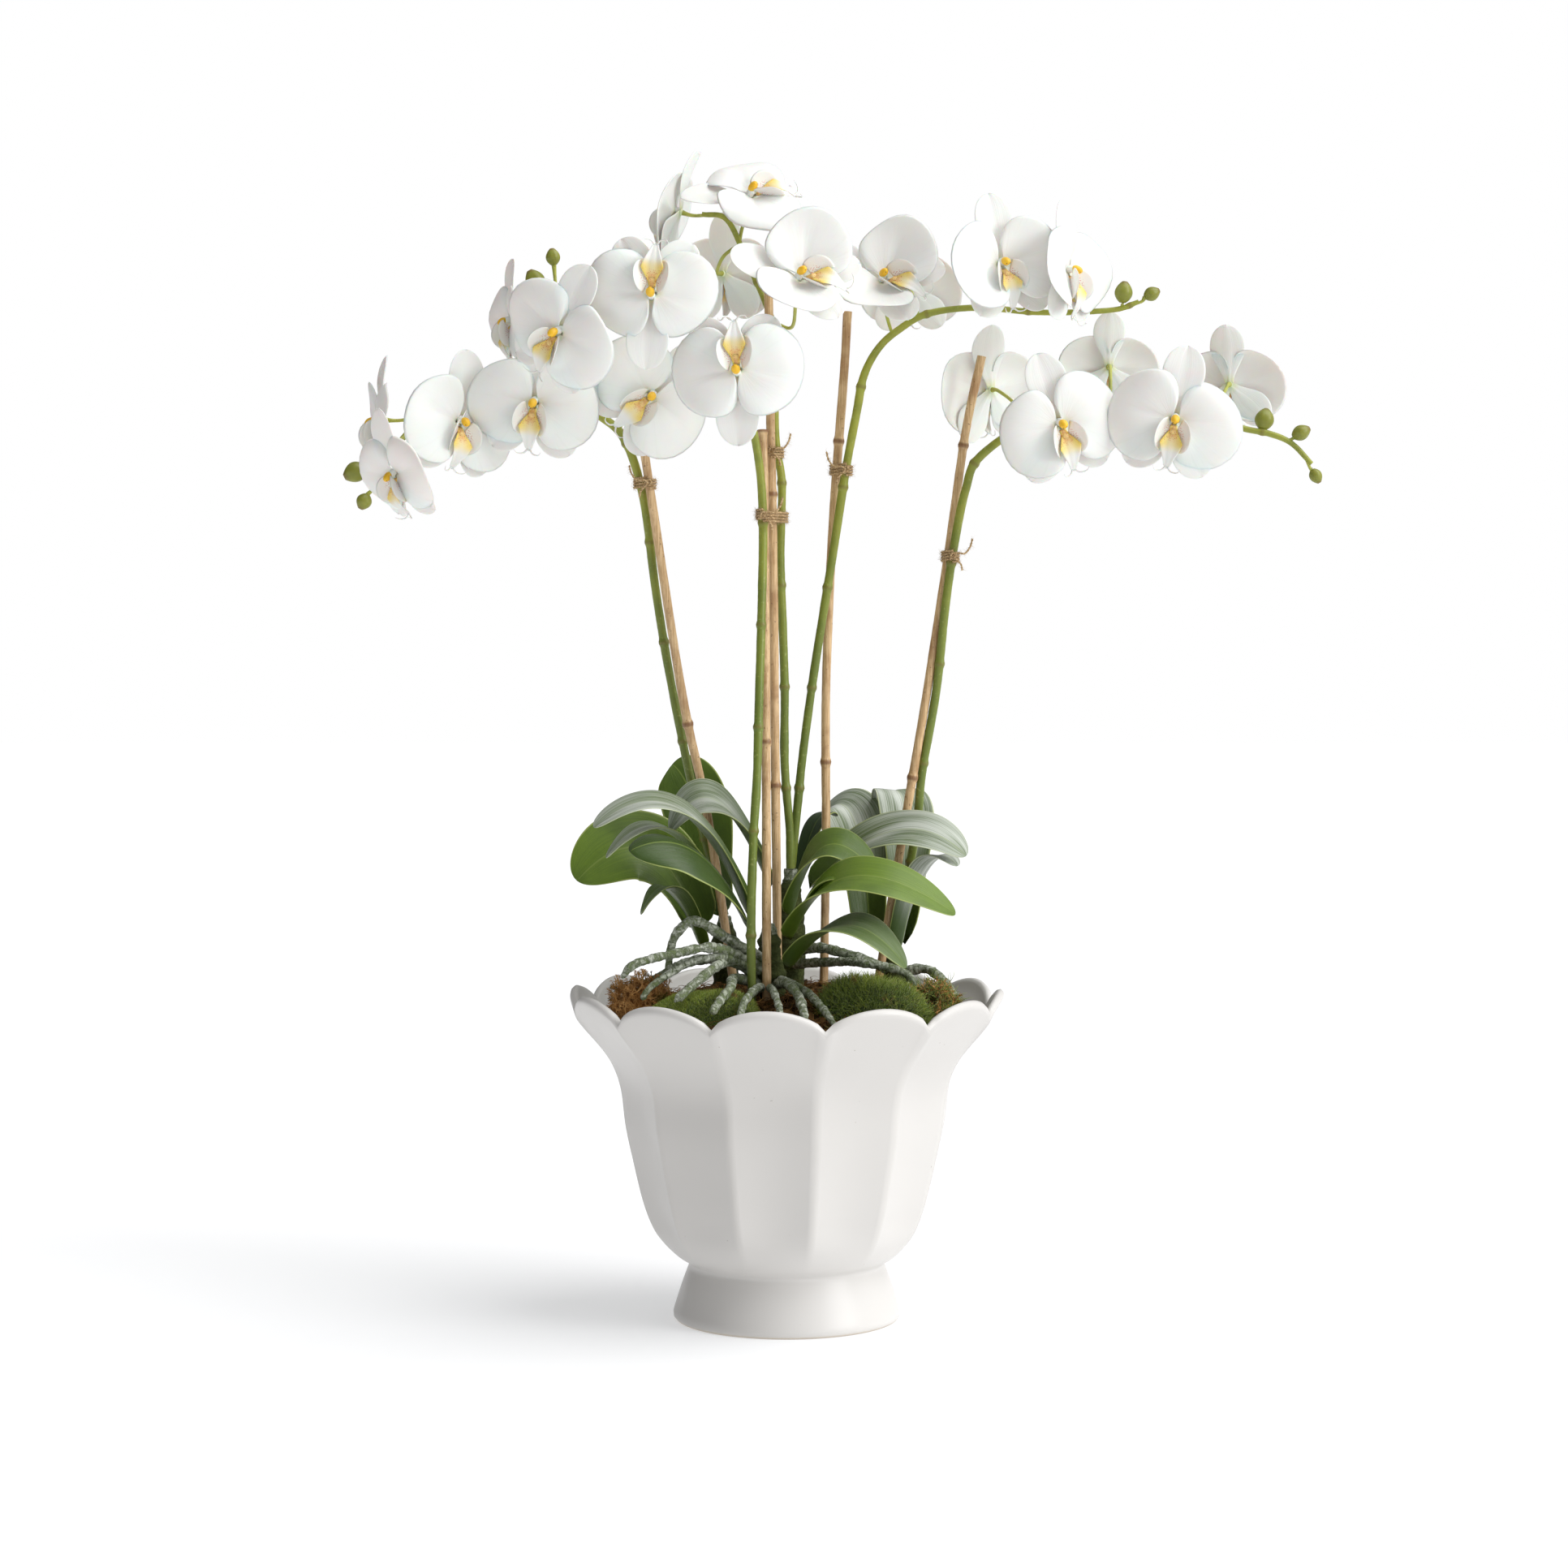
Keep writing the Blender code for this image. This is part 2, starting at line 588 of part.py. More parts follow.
def build_spike(name, spike):
    """A stem with its flower stalks and buds: one growth."""
    path = stem_path(spike)
    last = len(path) - 1
    radii = [stem_radius(i / last) for i in range(last + 1)]
    parts = [tube_mesh(name, path, radii)]
    for letter, centre, length, width in BUDS:
        if letter != spike:
            continue
        centre = Vector(centre)
        root = stem_joint(spike, centre, BUD_REACH)
        along = (centre - root).normalized()
        stalk = [root, centre - along * length * 0.3]
        parts.append(tube_mesh("stalk", stalk, [PEDICEL_RADIUS] * 2, 0))
        parts.append(egg_mesh("bud", centre, along, length, width))
    for letter, place, turn, tilt, roll, size in FLOWERS:
        if letter != spike:
            continue
        stalk = pedicel_path(spike, flower_frame(place, turn, tilt, roll), place)
        parts.append(tube_mesh("pedicel", stalk, [PEDICEL_RADIUS] * len(stalk), 0))
    add_piece(name, union(parts), STEM)


# ---------------------------------------------------------------- leaves
# Each leaf: base, top of its arch, tip, half width, roll in degrees (plus turns the front
# edge of a leaf to the right down), and fold (plus lifts both edges, minus drops them).
LEAVES = {
    "leaf_left_broad": ((-0.066, 0.046, 0.284), (-0.106, 0.044, 0.352),
                        (-0.157, 0.026, 0.330), 0.027, -58, 0.15),
    "leaf_left_long": ((-0.028, -0.026, 0.300), (-0.078, -0.040, 0.386),
                       (-0.139, -0.060, 0.366), 0.021, -16, 0.10),
    "leaf_left_folded": ((-0.027, -0.040, 0.290), (-0.066, -0.066, 0.349),
                         (-0.112, -0.086, 0.352), 0.024, -32, -0.5),
    "leaf_middle_left": ((-0.012, 0.030, 0.318), (-0.052, 0.004, 0.384),
                         (-0.086, -0.002, 0.362), 0.021, -34, 0.10),
    "leaf_back_left": ((-0.049, 0.069, 0.292), (-0.068, 0.084, 0.372),
                       (-0.088, 0.094, 0.408), 0.026, -62, 0.10),
    "leaf_left_narrow": ((-0.062, 0.036, 0.268), (-0.086, 0.010, 0.318),
                         (-0.108, -0.002, 0.300), 0.012, 0, 0.10),
    "leaf_right_upper": ((0.003, -0.024, 0.300), (0.028, -0.040, 0.353),
                         (0.066, -0.046, 0.331), 0.020, 30, 0.10),
    "leaf_right_middle": ((0.003, -0.036, 0.284), (0.046, -0.084, 0.334),
                          (0.120, -0.096, 0.308), 0.021, 34, 0.10),
    "leaf_right_lower": ((0.002, -0.046, 0.264), (0.042, -0.096, 0.300),
                         (0.084, -0.118, 0.272), 0.019, 16, 0.10),
    "leaf_right_silvery": ((0.017, 0.014, 0.318), (0.080, 0.000, 0.362),
                           (0.132, -0.012, 0.344), 0.022, 34, 0.10),
    "leaf_right_low": ((0.084, 0.025, 0.268), (0.102, 0.014, 0.334),
                       (0.126, -0.002, 0.336), 0.019, 0, 0.10),
    "leaf_back_right": ((0.064, 0.056, 0.272), (0.048, 0.088, 0.372),
                        (0.016, 0.104, 0.344), 0.026, -20, 0.10),
    "leaf_back_upright": ((0.090, 0.062, 0.272), (0.090, 0.084, 0.376),
                          (0.072, 0.112, 0.372), 0.022, 0, 0.10),
    "leaf_back_middle": ((0.010, 0.037, 0.318), (0.022, 0.048, 0.364),
                         (0.038, 0.058, 0.370), 0.011, 0, 0.10),
}
LEAF_SHARES = (0.0, 0.14, 0.34, 0.58, 0.8, 0.94, 1.0)


def leaf_width(share):
    """Half width along a leaf, as a share of its widest: a narrow base and a round tip."""
    base = 0.36 + 0.64 * smoothstep(0.0, 0.5, share)
    tip = math.sqrt(max(0.0, 1 - max(0.0, (share - 0.5) / 0.5) ** 2.4))
    return max(0.10, base * tip)


def leaf_mesh(name, base, top, tip, half_width, roll, fold):
    base, top, tip = Vector(base), Vector(top), Vector(tip)
    rings = []
    for share in LEAF_SHARES:
        control = top * 2 - (base + tip) / 2
        middle = base.lerp(control, share).lerp(control.lerp(tip, share), share)
        along = (control - base).lerp(tip - control, share).normalized()
        side = along.cross(Vector((0, 0, 1))).normalized()
        side = Matrix.Rotation(math.radians(roll), 3, along) @ side
        up = side.cross(along).normalized()
        wide = half_width * leaf_width(share)
        lift = fold + LEAF_KEEL * (1 - share) ** 2
        thick = LEAF_THICKNESS * (1 - 0.4 * share)
        rim = [(-1.0, lift), (-0.5, lift * 0.35), (0.0, 0.0), (0.5, lift * 0.35), (1.0, lift)]
        upper = [middle + side * wide * x + up * wide * z * 0.7 for x, z in rim]
        lower = [middle + side * wide * x * 0.96 + up * (wide * z * 0.7 - thick)
                 for x, z in (rim[3], rim[2], rim[1])]
        rings.append(upper + lower)
    return loft(name, rings)


# ---------------------------------------------------------------- crowns and roots
# Each crown: foot on the medium, top, and the routes of its aerial roots.
CROWNS = {
    "crown_front": ((-0.012, -0.030, 0.232), (-0.013, -0.032, 0.296), [
        [(-0.016, -0.036, 0.270), (-0.042, -0.050, 0.286), (-0.066, -0.054, 0.300),
         (-0.079, -0.056, 0.292), (-0.084, -0.056, 0.280)],
        [(-0.018, -0.036, 0.264), (-0.050, -0.064, 0.281), (-0.078, -0.078, 0.279),
         (-0.108, -0.088, 0.272)],
        [(-0.020, -0.034, 0.258), (-0.042, -0.052, 0.270), (-0.058, -0.084, 0.264),
         (-0.079, -0.108, 0.2475)],
        [(-0.020, -0.036, 0.252), (-0.038, -0.054, 0.258), (-0.040, -0.086, 0.255),
         (-0.047, -0.108, 0.248), (-0.053, -0.122, 0.2405)],
        [(-0.008, -0.038, 0.252), (0.000, -0.070, 0.256), (0.008, -0.094, 0.250),
         (0.012, -0.116, 0.240)],
    ]),
    "crown_middle": ((0.003, 0.022, 0.232), (0.003, 0.0215, 0.3325), [
        [(0.006, 0.018, 0.270), (0.024, -0.006, 0.276), (0.046, -0.022, 0.272),
         (0.062, -0.032, 0.268)],
    ]),
    "crown_right": ((0.080, 0.044, 0.230), (0.081, 0.040, 0.2770), [
        [(0.084, 0.044, 0.252), (0.104, 0.036, 0.256), (0.118, 0.024, 0.248),
         (0.124, 0.012, 0.238)],
    ]),
    "crown_left": ((-0.046, 0.052, 0.232), (-0.0468, 0.046, 0.2950), [
        [(-0.048, 0.044, 0.262), (-0.072, 0.036, 0.262), (-0.096, 0.030, 0.250),
         (-0.112, 0.026, 0.238)],
    ]),
}


CROWN_OUTLINE = ((0.0, 0.8), (0.35, 1.0), (0.7, 0.92), (1.0, 0.72))  # share of height, of radius
ROOT_TIP = 0.7                # a root's radius at its end, as a share of its full one


def crown_parts(name, swell=0.0):
    """A short stem stub and its roots, all grown as one, made wider by swell."""
    foot, top, roots = CROWNS[name]
    foot, top = Vector(foot), Vector(top)
    path = [foot.lerp(top, level) for level, _ in CROWN_OUTLINE]
    path[0].z -= swell
    path[-1].z += swell
    parts = [tube_mesh(name, path, [CROWN_RADIUS * wide + swell for _, wide in CROWN_OUTLINE], 2)]
    for route in roots:
        path = smooth_path(route, 1)
        ends = [ROOT_RADIUS + swell] * (len(path) - 1) + [ROOT_RADIUS * ROOT_TIP + swell]
        parts.append(tube_mesh("root", path, ends))
    return parts


# ---------------------------------------------------------------- assembly
def relieve(piece, cutters):
    """Cut a piece clear of its neighbours, with an EXACT Boolean for each cutter."""
    for number, cutter in enumerate(cutters):
        cut = piece.modifiers.new(f"relief_{number}", "BOOLEAN")
        cut.operation = "DIFFERENCE"
        cut.solver = "EXACT"
        cut.object = cutter


build_pot()
medium = add_piece("growing_medium", medium_mesh(), BARK)
moss_left = add_piece("moss_left", mound_mesh("moss_left", -0.064, -0.086, 0.040, 0.024, 0.016),
                      MOSS)
moss_right = add_piece("moss_right", mound_mesh("moss_right", 0.062, -0.080, 0.040, 0.030,
                                                0.020), MOSS)
lichen = add_piece("reindeer_moss", mound_mesh("reindeer_moss", -0.112, -0.036, 0.022, 0.026,
                                               0.030), LICHEN)

for crown in CROWNS:
    add_piece(crown, union(crown_parts(crown)), ROOT)
for letter in SPIKES:
    build_spike(f"flower_spike_{letter}", letter)
    build_stake(f"stake_{letter}", letter)
    build_tie(f"tie_{letter}", *TIES[letter])
bloom_shape = bloom_mesh()
for index, (letter, place, turn, tilt, roll, size) in enumerate(FLOWERS, 1):
    build_flower(f"flower_{index:02d}_{letter}", bloom_shape,
                 flower_frame(place, turn, tilt, roll), size)
bpy.data.meshes.remove(bloom_shape)
for leaf, shape in LEAVES.items():
    add_piece(leaf, leaf_mesh(leaf, *shape), LEAF)

stake_cutters = []
for letter, route in STAKES.items():
    path = smooth_path(route, 1)
    path[0].z -= GAP
    stake_cutters.append(add_cutter(f"stake_{letter}_hole", tube_mesh(
        "hole", path, [STAKE_RADIUS + HOLE_GAP] * len(path))))
crown_cutters = [add_cutter(f"{name}_hole", union(crown_parts(name, HOLE_GAP)))
                 for name in CROWNS]
spike_foot = smooth_path(SPIKE_B[:3], 1)
spike_foot[0].z -= GAP
spike_hole = add_cutter("spike_b_hole", tube_mesh("hole", spike_foot, [STEM_RADIUS + HOLE_GAP] * 3))
relieve(medium, [*stake_cutters, *crown_cutters, spike_hole])
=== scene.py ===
import math
import bmesh
import bpy
import numpy as np
from mathutils import Matrix
from mathutils import Vector


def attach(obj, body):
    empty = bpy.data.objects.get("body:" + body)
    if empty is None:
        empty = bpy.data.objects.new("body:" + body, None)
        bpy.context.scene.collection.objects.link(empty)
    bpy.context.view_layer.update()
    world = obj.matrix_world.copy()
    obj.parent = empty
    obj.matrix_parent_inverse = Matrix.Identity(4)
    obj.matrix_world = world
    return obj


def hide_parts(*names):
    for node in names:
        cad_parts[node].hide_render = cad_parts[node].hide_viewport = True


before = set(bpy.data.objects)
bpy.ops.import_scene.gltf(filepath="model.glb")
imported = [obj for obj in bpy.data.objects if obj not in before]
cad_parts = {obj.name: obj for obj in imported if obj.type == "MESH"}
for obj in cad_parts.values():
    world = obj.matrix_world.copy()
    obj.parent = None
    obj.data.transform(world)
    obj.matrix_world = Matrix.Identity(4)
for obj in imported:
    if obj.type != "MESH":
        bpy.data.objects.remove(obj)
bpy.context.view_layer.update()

# ------------------------------------------------------------------ the studio
# A plain white lit table under soft light: a broad light overhead, a key from the front right,
# and a white room all round that is brighter above and on its right side.
floor_mesh = bpy.data.meshes.new("floor")
floor_mesh.from_pydata([(-14, -14, 0), (14, -14, 0), (14, 14, 0), (-14, 14, 0)], [], [(0, 1, 2, 3)])
floor = bpy.data.objects.new("floor", floor_mesh)
bpy.context.scene.collection.objects.link(floor)
floor_paint = bpy.data.materials.new("floor paint")
floor_paint.use_nodes = True
floor_shader = floor_paint.node_tree.nodes["Principled BSDF"]
floor_shader.inputs["Base Color"].default_value = (0.60, 0.60, 0.605, 1.0)
floor_shader.inputs["Emission Color"].default_value = (0.98, 0.99, 1.0, 1.0)
floor_shader.inputs["Emission Strength"].default_value = 0.44
floor_shader.inputs["Roughness"].default_value = 0.9
floor_shader.inputs["Specular IOR Level"].default_value = 0.0
floor_mesh.materials.append(floor_paint)

lens = bpy.data.cameras.new("camera")
lens.sensor_width = 36
lens.lens = 74.53
camera = bpy.data.objects.new("camera", lens)
camera.location = (-0.002, -2.4, 0.5)
camera.rotation_euler = (math.radians(87.54), 0, 0)
bpy.context.scene.collection.objects.link(camera)
bpy.context.scene.camera = camera
bpy.context.scene.view_settings.view_transform = "Standard"


def studio_light(name, aim_from, softness, power):
    """A broad light far off, so that it falls the same way over the whole floor."""
    lamp = bpy.data.lights.new(name, "SUN")
    lamp.angle = math.radians(softness)
    lamp.energy = power
    lamp_object = bpy.data.objects.new(name, lamp)
    lamp_object.rotation_euler = Vector(aim_from).to_track_quat("Z", "Y").to_euler()
    bpy.context.scene.collection.objects.link(lamp_object)


studio_light("overhead", (0.55, -0.10, 1.0), 50, 1.85)
studio_light("key", (0.95, -0.52, 0.38), 30, 1.40)

room = bpy.data.worlds.new("white room")
room.use_nodes = True
bpy.context.scene.world = room
room_nodes = room.node_tree.nodes
room_links = room.node_tree.links
toward = room_nodes.new("ShaderNodeSeparateXYZ")
room_links.new(room_nodes.new("ShaderNodeTexCoord").outputs["Generated"], toward.inputs[0])
side_light = room_nodes.new("ShaderNodeMapRange")
side_light.interpolation_type = "SMOOTHSTEP"
side_light.inputs["From Min"].default_value = -0.8
side_light.inputs["To Min"].default_value = 0.02
side_light.inputs["To Max"].default_value = 0.42
room_links.new(toward.outputs["X"], side_light.inputs["Value"])
dome_light = room_nodes.new("ShaderNodeMapRange")
dome_light.inputs["To Max"].default_value = 0.34
room_links.new(toward.outputs["Z"], dome_light.inputs["Value"])
both_lights = room_nodes.new("ShaderNodeMath")
room_links.new(side_light.outputs[0], both_lights.inputs[0])
room_links.new(dome_light.outputs[0], both_lights.inputs[1])
backdrop = room_nodes.new("ShaderNodeMath")
backdrop.operation = "MAXIMUM"
room_links.new(room_nodes.new("ShaderNodeLightPath").outputs["Is Camera Ray"], backdrop.inputs[0])
room_links.new(both_lights.outputs[0], backdrop.inputs[1])
room_links.new(backdrop.outputs[0], room_nodes["Background"].inputs["Strength"])
room_nodes["Background"].inputs["Color"].default_value = (1.0, 1.0, 1.0, 1.0)

# ------------------------------------------------------------------ pot
# One slip-cast bowl of white earthenware: twelve shallow flutes that meet in soft ridges, a
# rim of twelve petals that rolls outward, and a flared foot. It has a satin white glaze,
# with a few pinholes, wiped off the ring that it stands on.
POT_LOBES = 12
POT_TURN = math.radians(-5)
NECK = 0.0418
RIM = 0.246
BOWL_INSIDE = [(0.0, 0.0083), (0.0600, 0.0083), (0.0690, 0.0100), (0.0680, 0.0430), (0.0925, 0.0704),
               (0.1080, 0.1208), (0.1169, 0.1736), (0.1237, 0.1936), (0.1360, 0.2160),
               (0.1500, 0.2350), (0.1540, 0.2415)]
BOWL_RIM = [(0.1556, 0.2447), (0.1578, 0.2460), (0.1601, 0.2449), (0.1608, 0.2420)]
BOWL_OUTSIDE = [(0.1596, 0.2384), (0.1446, 0.2160), (0.1314, 0.1936), (0.1242, 0.1736),
                (0.1206, 0.1457), (0.1153, 0.1208), (0.1081, 0.0905), (0.1007, 0.0704),
                (0.0930, 0.0588), (0.0828, 0.0485), (0.0742, 0.0432), (0.0729, NECK),
                (0.0728, 0.0396), (0.0778, 0.0260), (0.0826, 0.0110), (0.0843, 0.0050),
                (0.0838, 0.0014), (0.0815, 0.0), (0.0720, 0.0), (0.0700, 0.0016), (0.0, 0.0020)]


def smooth_path(points, steps):
    """Catmull-Rom points through a route, with a number of steps between its points."""
    route = [Vector(point) for point in points]
    ends = [route[0] * 2 - route[1], *route, route[-1] * 2 - route[-2]]
    out = []
    for a, b, c, d in zip(ends, ends[1:], ends[2:], ends[3:]):
        for k in range(steps):
            t = k / steps
            out.append(0.5 * ((2 * b) + (c - a) * t + (2 * a - 5 * b + 4 * c - d) * t * t
                              + (3 * b - a - 3 * c + d) * t ** 3))
    out.append(route[-1])
    return out


def put(tree, kind, given=None, **options):
    """Add a node with its options; given maps each socket to a value or to a link."""
    node = tree.nodes.new(kind)
    for option, value in options.items():
        setattr(node, option, value)
    for socket, value in (given or {}).items():
        if isinstance(value, bpy.types.NodeSocket):
            tree.links.new(value, node.inputs[socket])
        else:
            node.inputs[socket].default_value = value
    return node


def calc(tree, operation, *values):
    """One sum on values or links."""
    return put(tree, "ShaderNodeMath", dict(enumerate(values)), operation=operation).outputs[0]


def times(tree, a, b):
    return calc(tree, "MULTIPLY", a, b)


def plus(tree, a, b):
    return calc(tree, "ADD", a, b)


def less(tree, a, b):
    return calc(tree, "SUBTRACT", a, b)


def fade(tree, value, low, high, start=0.0, end=1.0):
    """A smooth step from start to end as a value goes from low to high."""
    return put(tree, "ShaderNodeMapRange",
               {"Value": value, "From Min": low, "From Max": high, "To Min": start, "To Max": end},
               interpolation_type="SMOOTHSTEP").outputs[0]


def start_tree(name, inputs):
    """A geometry tree with named inputs: label, socket kind and usual value."""
    tree = bpy.data.node_groups.new(name, "GeometryNodeTree")
    tree.interface.new_socket("Geometry", in_out="INPUT", socket_type="NodeSocketGeometry")
    for label, kind, value in inputs:
        socket = tree.interface.new_socket(label, in_out="INPUT", socket_type="NodeSocket" + kind)
        if value is not None:
            socket.default_value = value
    tree.interface.new_socket("Geometry", in_out="OUTPUT", socket_type="NodeSocketGeometry")
    given = tree.nodes.new("NodeGroupInput").outputs
    return tree, given, tree.nodes.new("NodeGroupOutput")


def grow(name, base, tree, values):
    """Run a tree on a base mesh with its inputs set, and give back the plain mesh it makes."""
    holder = bpy.data.objects.new(name, base)
    bpy.context.scene.collection.objects.link(holder)
    step = holder.modifiers.new("grown", "NODES")
    step.node_group = tree
    for socket in tree.interface.items_tree:
        if socket.in_out == "INPUT" and socket.name in values:
            step[socket.identifier] = values[socket.name]
    graph = bpy.context.evaluated_depsgraph_get()
    mesh = bpy.data.meshes.new_from_object(holder.evaluated_get(graph))
    holder.modifiers.remove(step)
    bpy.data.objects.remove(holder, do_unlink=True)
    mesh.name = name
    return mesh


def close_mesh(mesh, distance=0.000004):
    """Weld the seams of closed shells and turn their faces outward."""
    bm = bmesh.new()
    bm.from_mesh(mesh)
    bmesh.ops.remove_doubles(bm, verts=bm.verts, dist=distance)
    bmesh.ops.dissolve_degenerate(bm, edges=bm.edges, dist=distance)
    bmesh.ops.recalc_face_normals(bm, faces=bm.faces)
    bm.to_mesh(mesh)
    bm.free()


def show(name, mesh, slot, *nodes):
    """Put a finished mesh on the object in place of its plain solids."""
    piece = bpy.data.objects.new(name, mesh)
    bpy.context.scene.collection.objects.link(piece)
    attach(piece, "root")
    if nodes:
        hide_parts(*nodes)
    return piece


def paint(red, green, blue):
    """A colour as a paint chart gives it, 0 to 255, made linear."""
    return tuple((value / 255) ** 2.2 for value in (red, green, blue)) + (1.0,)


def start_finish(name, roughness, fixed=None):
    """A material with its even values set on the shader's own sockets."""
    made = bpy.data.materials.new(name)
    made.use_nodes = True
    shader = made.node_tree.nodes["Principled BSDF"]
    shader.inputs["Roughness"].default_value = roughness
    for socket, value in (fixed or {}).items():
        shader.inputs[socket].default_value = value
    return made, made.node_tree, shader


def place_on(tree):
    """Where on the piece a spot lies, in metres."""
    return put(tree, "ShaderNodeTexCoord").outputs["Object"]


def mark_on(tree, name):
    """The value of a mark that the mesh carries."""
    return put(tree, "ShaderNodeAttribute", attribute_name=name).outputs["Fac"]


def stretch(tree, vector, scale):
    """Places drawn out, so that a pattern on them runs in streaks."""
    return put(tree, "ShaderNodeMapping", {"Vector": vector, "Scale": scale}).outputs[0]


def mottle(tree, vector, scale, detail=4.0, rough=0.55, warp=0.0):
    """Cloudy noise from 0 to 1."""
    return put(tree, "ShaderNodeTexNoise",
               {"Vector": vector, "Scale": scale, "Detail": detail, "Roughness": rough,
                "Distortion": warp}).outputs["Fac"]


def tint(tree, share, low, high):
    """A colour between two, by a share of 0 to 1."""
    return put(tree, "ShaderNodeMix", {0: share, 6: low, 7: high}, data_type="RGBA").outputs[2]


def relief(tree, shader, height, depth, strength=1.0):
    """Fine bumps in the surface, to a depth in metres."""
    bump = put(tree, "ShaderNodeBump", {"Height": height, "Distance": depth, "Strength": strength})
    tree.links.new(bump.outputs[0], shader.inputs["Normal"])


def colour_in(tree, shader, colour):
    """Give the finish its colour."""
    tree.links.new(colour, shader.inputs["Base Color"])


glaze, tree, shader = start_finish("white glaze", 0.36, {"Coat Weight": 0.08, "Coat Roughness": 0.2,
                                                         "Specular IOR Level": 0.32})
spot = place_on(tree)
body_tone = tint(tree, mottle(tree, spot, 7.0), paint(211, 208, 204), paint(216, 214, 211))
# Painted highlight: the glaze is painted a little lighter along the ridges between the flutes, as if they
# caught the light.
ridge = mark_on(tree, "ridge")
body_tone = tint(tree, times(tree, ridge, 0.35), body_tone, paint(222, 219, 214))
pinhole = fade(tree, mottle(tree, spot, 240.0, 1.0), 0.80, 0.84)
body_tone = tint(tree, times(tree, pinhole, 0.5), body_tone, paint(150, 142, 132))
height = put(tree, "ShaderNodeSeparateXYZ", {0: spot}).outputs["Z"]
bare_clay = fade(tree, height, 0.0006, 0.0024, 1.0, 0.0)
colour_in(tree, shader, tint(tree, bare_clay, body_tone, paint(206, 196, 182)))
tree.links.new(fade(tree, mottle(tree, spot, 30.0, 5.0), 0.3, 0.7, 0.32, 0.42), shader.inputs["Roughness"])
waves = plus(tree, mottle(tree, spot, 22.0, 3.0), times(tree, mottle(tree, spot, 420.0, 2.0), 0.06))
relief(tree, shader, less(tree, waves, times(tree, pinhole, 0.8)), 0.0004, 0.16)

bowl_tree, given, made = start_tree("Fluted Bowl", [
    ("Lobes", "Int", POT_LOBES), ("Steps", "Int", 14), ("Rows", "Int", 250),
    ("Turn", "Float", 0.0), ("Flute Depth", "Float", 0.0065), ("Rim Scallop", "Float", 0.0150),
    ("Petal Bulge", "Float", 0.004), ("Neck", "Float", NECK), ("Rim", "Float", RIM),
    ("Glaze", "Material", None)])
t = bowl_tree
outline = put(t, "GeometryNodeMeshToCurve", {"Mesh": given["Geometry"]}).outputs[0]
columns = plus(t, times(t, given["Lobes"], given["Steps"]), 1.0)
grid = put(t, "GeometryNodeMeshGrid", {"Size X": 1.0, "Size Y": 1.0, "Vertices X": columns,
                                       "Vertices Y": given["Rows"]}).outputs["Mesh"]
share = put(t, "ShaderNodeSeparateXYZ", {0: put(t, "GeometryNodeInputPosition").outputs[0]}).outputs
around = plus(t, share["X"], 0.5)
rise = plus(t, share["Y"], 0.5)
sample = put(t, "GeometryNodeSampleCurve", {"Curves": outline, "Factor": rise}, mode="FACTOR")
point = put(t, "ShaderNodeSeparateXYZ", {0: sample.outputs["Position"]}).outputs
across = calc(t, "FRACT", times(t, around, given["Lobes"]))
middle = less(t, times(t, across, 2.0), 1.0)
hollow = less(t, 1.0, times(t, middle, middle))
on_body = times(t, fade(t, point["Z"], given["Neck"], 0.085), fade(t, point["Z"], 0.17, 0.235, 1.0, 0.0))
lobe = calc(t, "POWER", calc(t, "SINE", times(t, across, math.pi)), 0.62)
off_lobe = less(t, 1.0, lobe)
on_rim = fade(t, point["Z"], 0.185, given["Rim"])
reach = less(t, point["X"], times(t, times(t, given["Flute Depth"], on_body), hollow))
reach = less(t, reach, times(t, times(t, given["Petal Bulge"], on_rim), off_lobe))
level = less(t, point["Z"], times(t, times(t, given["Rim Scallop"], on_rim), off_lobe))
angle = plus(t, times(t, around, math.tau), given["Turn"])
place = put(t, "ShaderNodeCombineXYZ", {
    0: times(t, reach, calc(t, "SINE", angle)),
    1: times(t, times(t, reach, calc(t, "COSINE", angle)), -1.0),
    2: level}).outputs[0]
# This mark tells the glaze where to paint its lighter highlight along the ridges between the flutes.
edge = calc(t, "MINIMUM", across, less(t, 1.0, across))
marked = put(t, "GeometryNodeStoreNamedAttribute",
             {"Geometry": grid, "Name": "ridge",
              "Value": times(t, fade(t, edge, 0.0, 0.07, 1.0, 0.0), on_body)})
formed = put(t, "GeometryNodeSetPosition", {"Geometry": marked.outputs[0], "Position": place})
welded = put(t, "GeometryNodeMergeByDistance", {"Geometry": formed.outputs[0], "Distance": 0.00002})
smooth = put(t, "GeometryNodeSetShadeSmooth", {"Geometry": welded.outputs[0]})
plain = put(t, "GeometryNodeRealizeInstances", {"Geometry": smooth.outputs[0]})
coated = put(t, "GeometryNodeSetMaterial", {"Geometry": plain.outputs[0], "Material": given["Glaze"]})
t.links.new(coated.outputs[0], made.inputs[0])

half = [(radius, 0.0, height) for radius, height in BOWL_INSIDE + BOWL_RIM + BOWL_OUTSIDE]
half = [(max(0.0, p.x), 0.0, max(0.0, p.z)) for p in smooth_path(half, 6)]
outline_mesh = bpy.data.meshes.new("bowl outline")
outline_mesh.from_pydata(half, [(i, i + 1) for i in range(len(half) - 1)], [])
bowl = grow("pot_glazed_bowl", outline_mesh, bowl_tree,
            {"Turn": POT_TURN - math.pi / POT_LOBES, "Glaze": glaze})
close_mesh(bowl)
show("pot_glazed_bowl", bowl, "white_glaze", "pot")

# ------------------------------------------------------------------ growing medium
# Orchid bark and coir heaped in the bowl to just under the rim: chips of fir bark lie every
# way on a mat of brown coconut fibre.
SOIL_EDGE = 0.2215
SOIL_RISE = 0.022
MAT_RADIUS = 0.1385
MAT_SIDES = 72
DOME_RADIUS = 0.142
STREWN_RADIUS = 0.125


def ground(x, y):
    """Height of the medium's domed top."""
    out = min(1.0, math.hypot(x, y) / DOME_RADIUS)
    return SOIL_EDGE + SOIL_RISE * (1 - out * out)


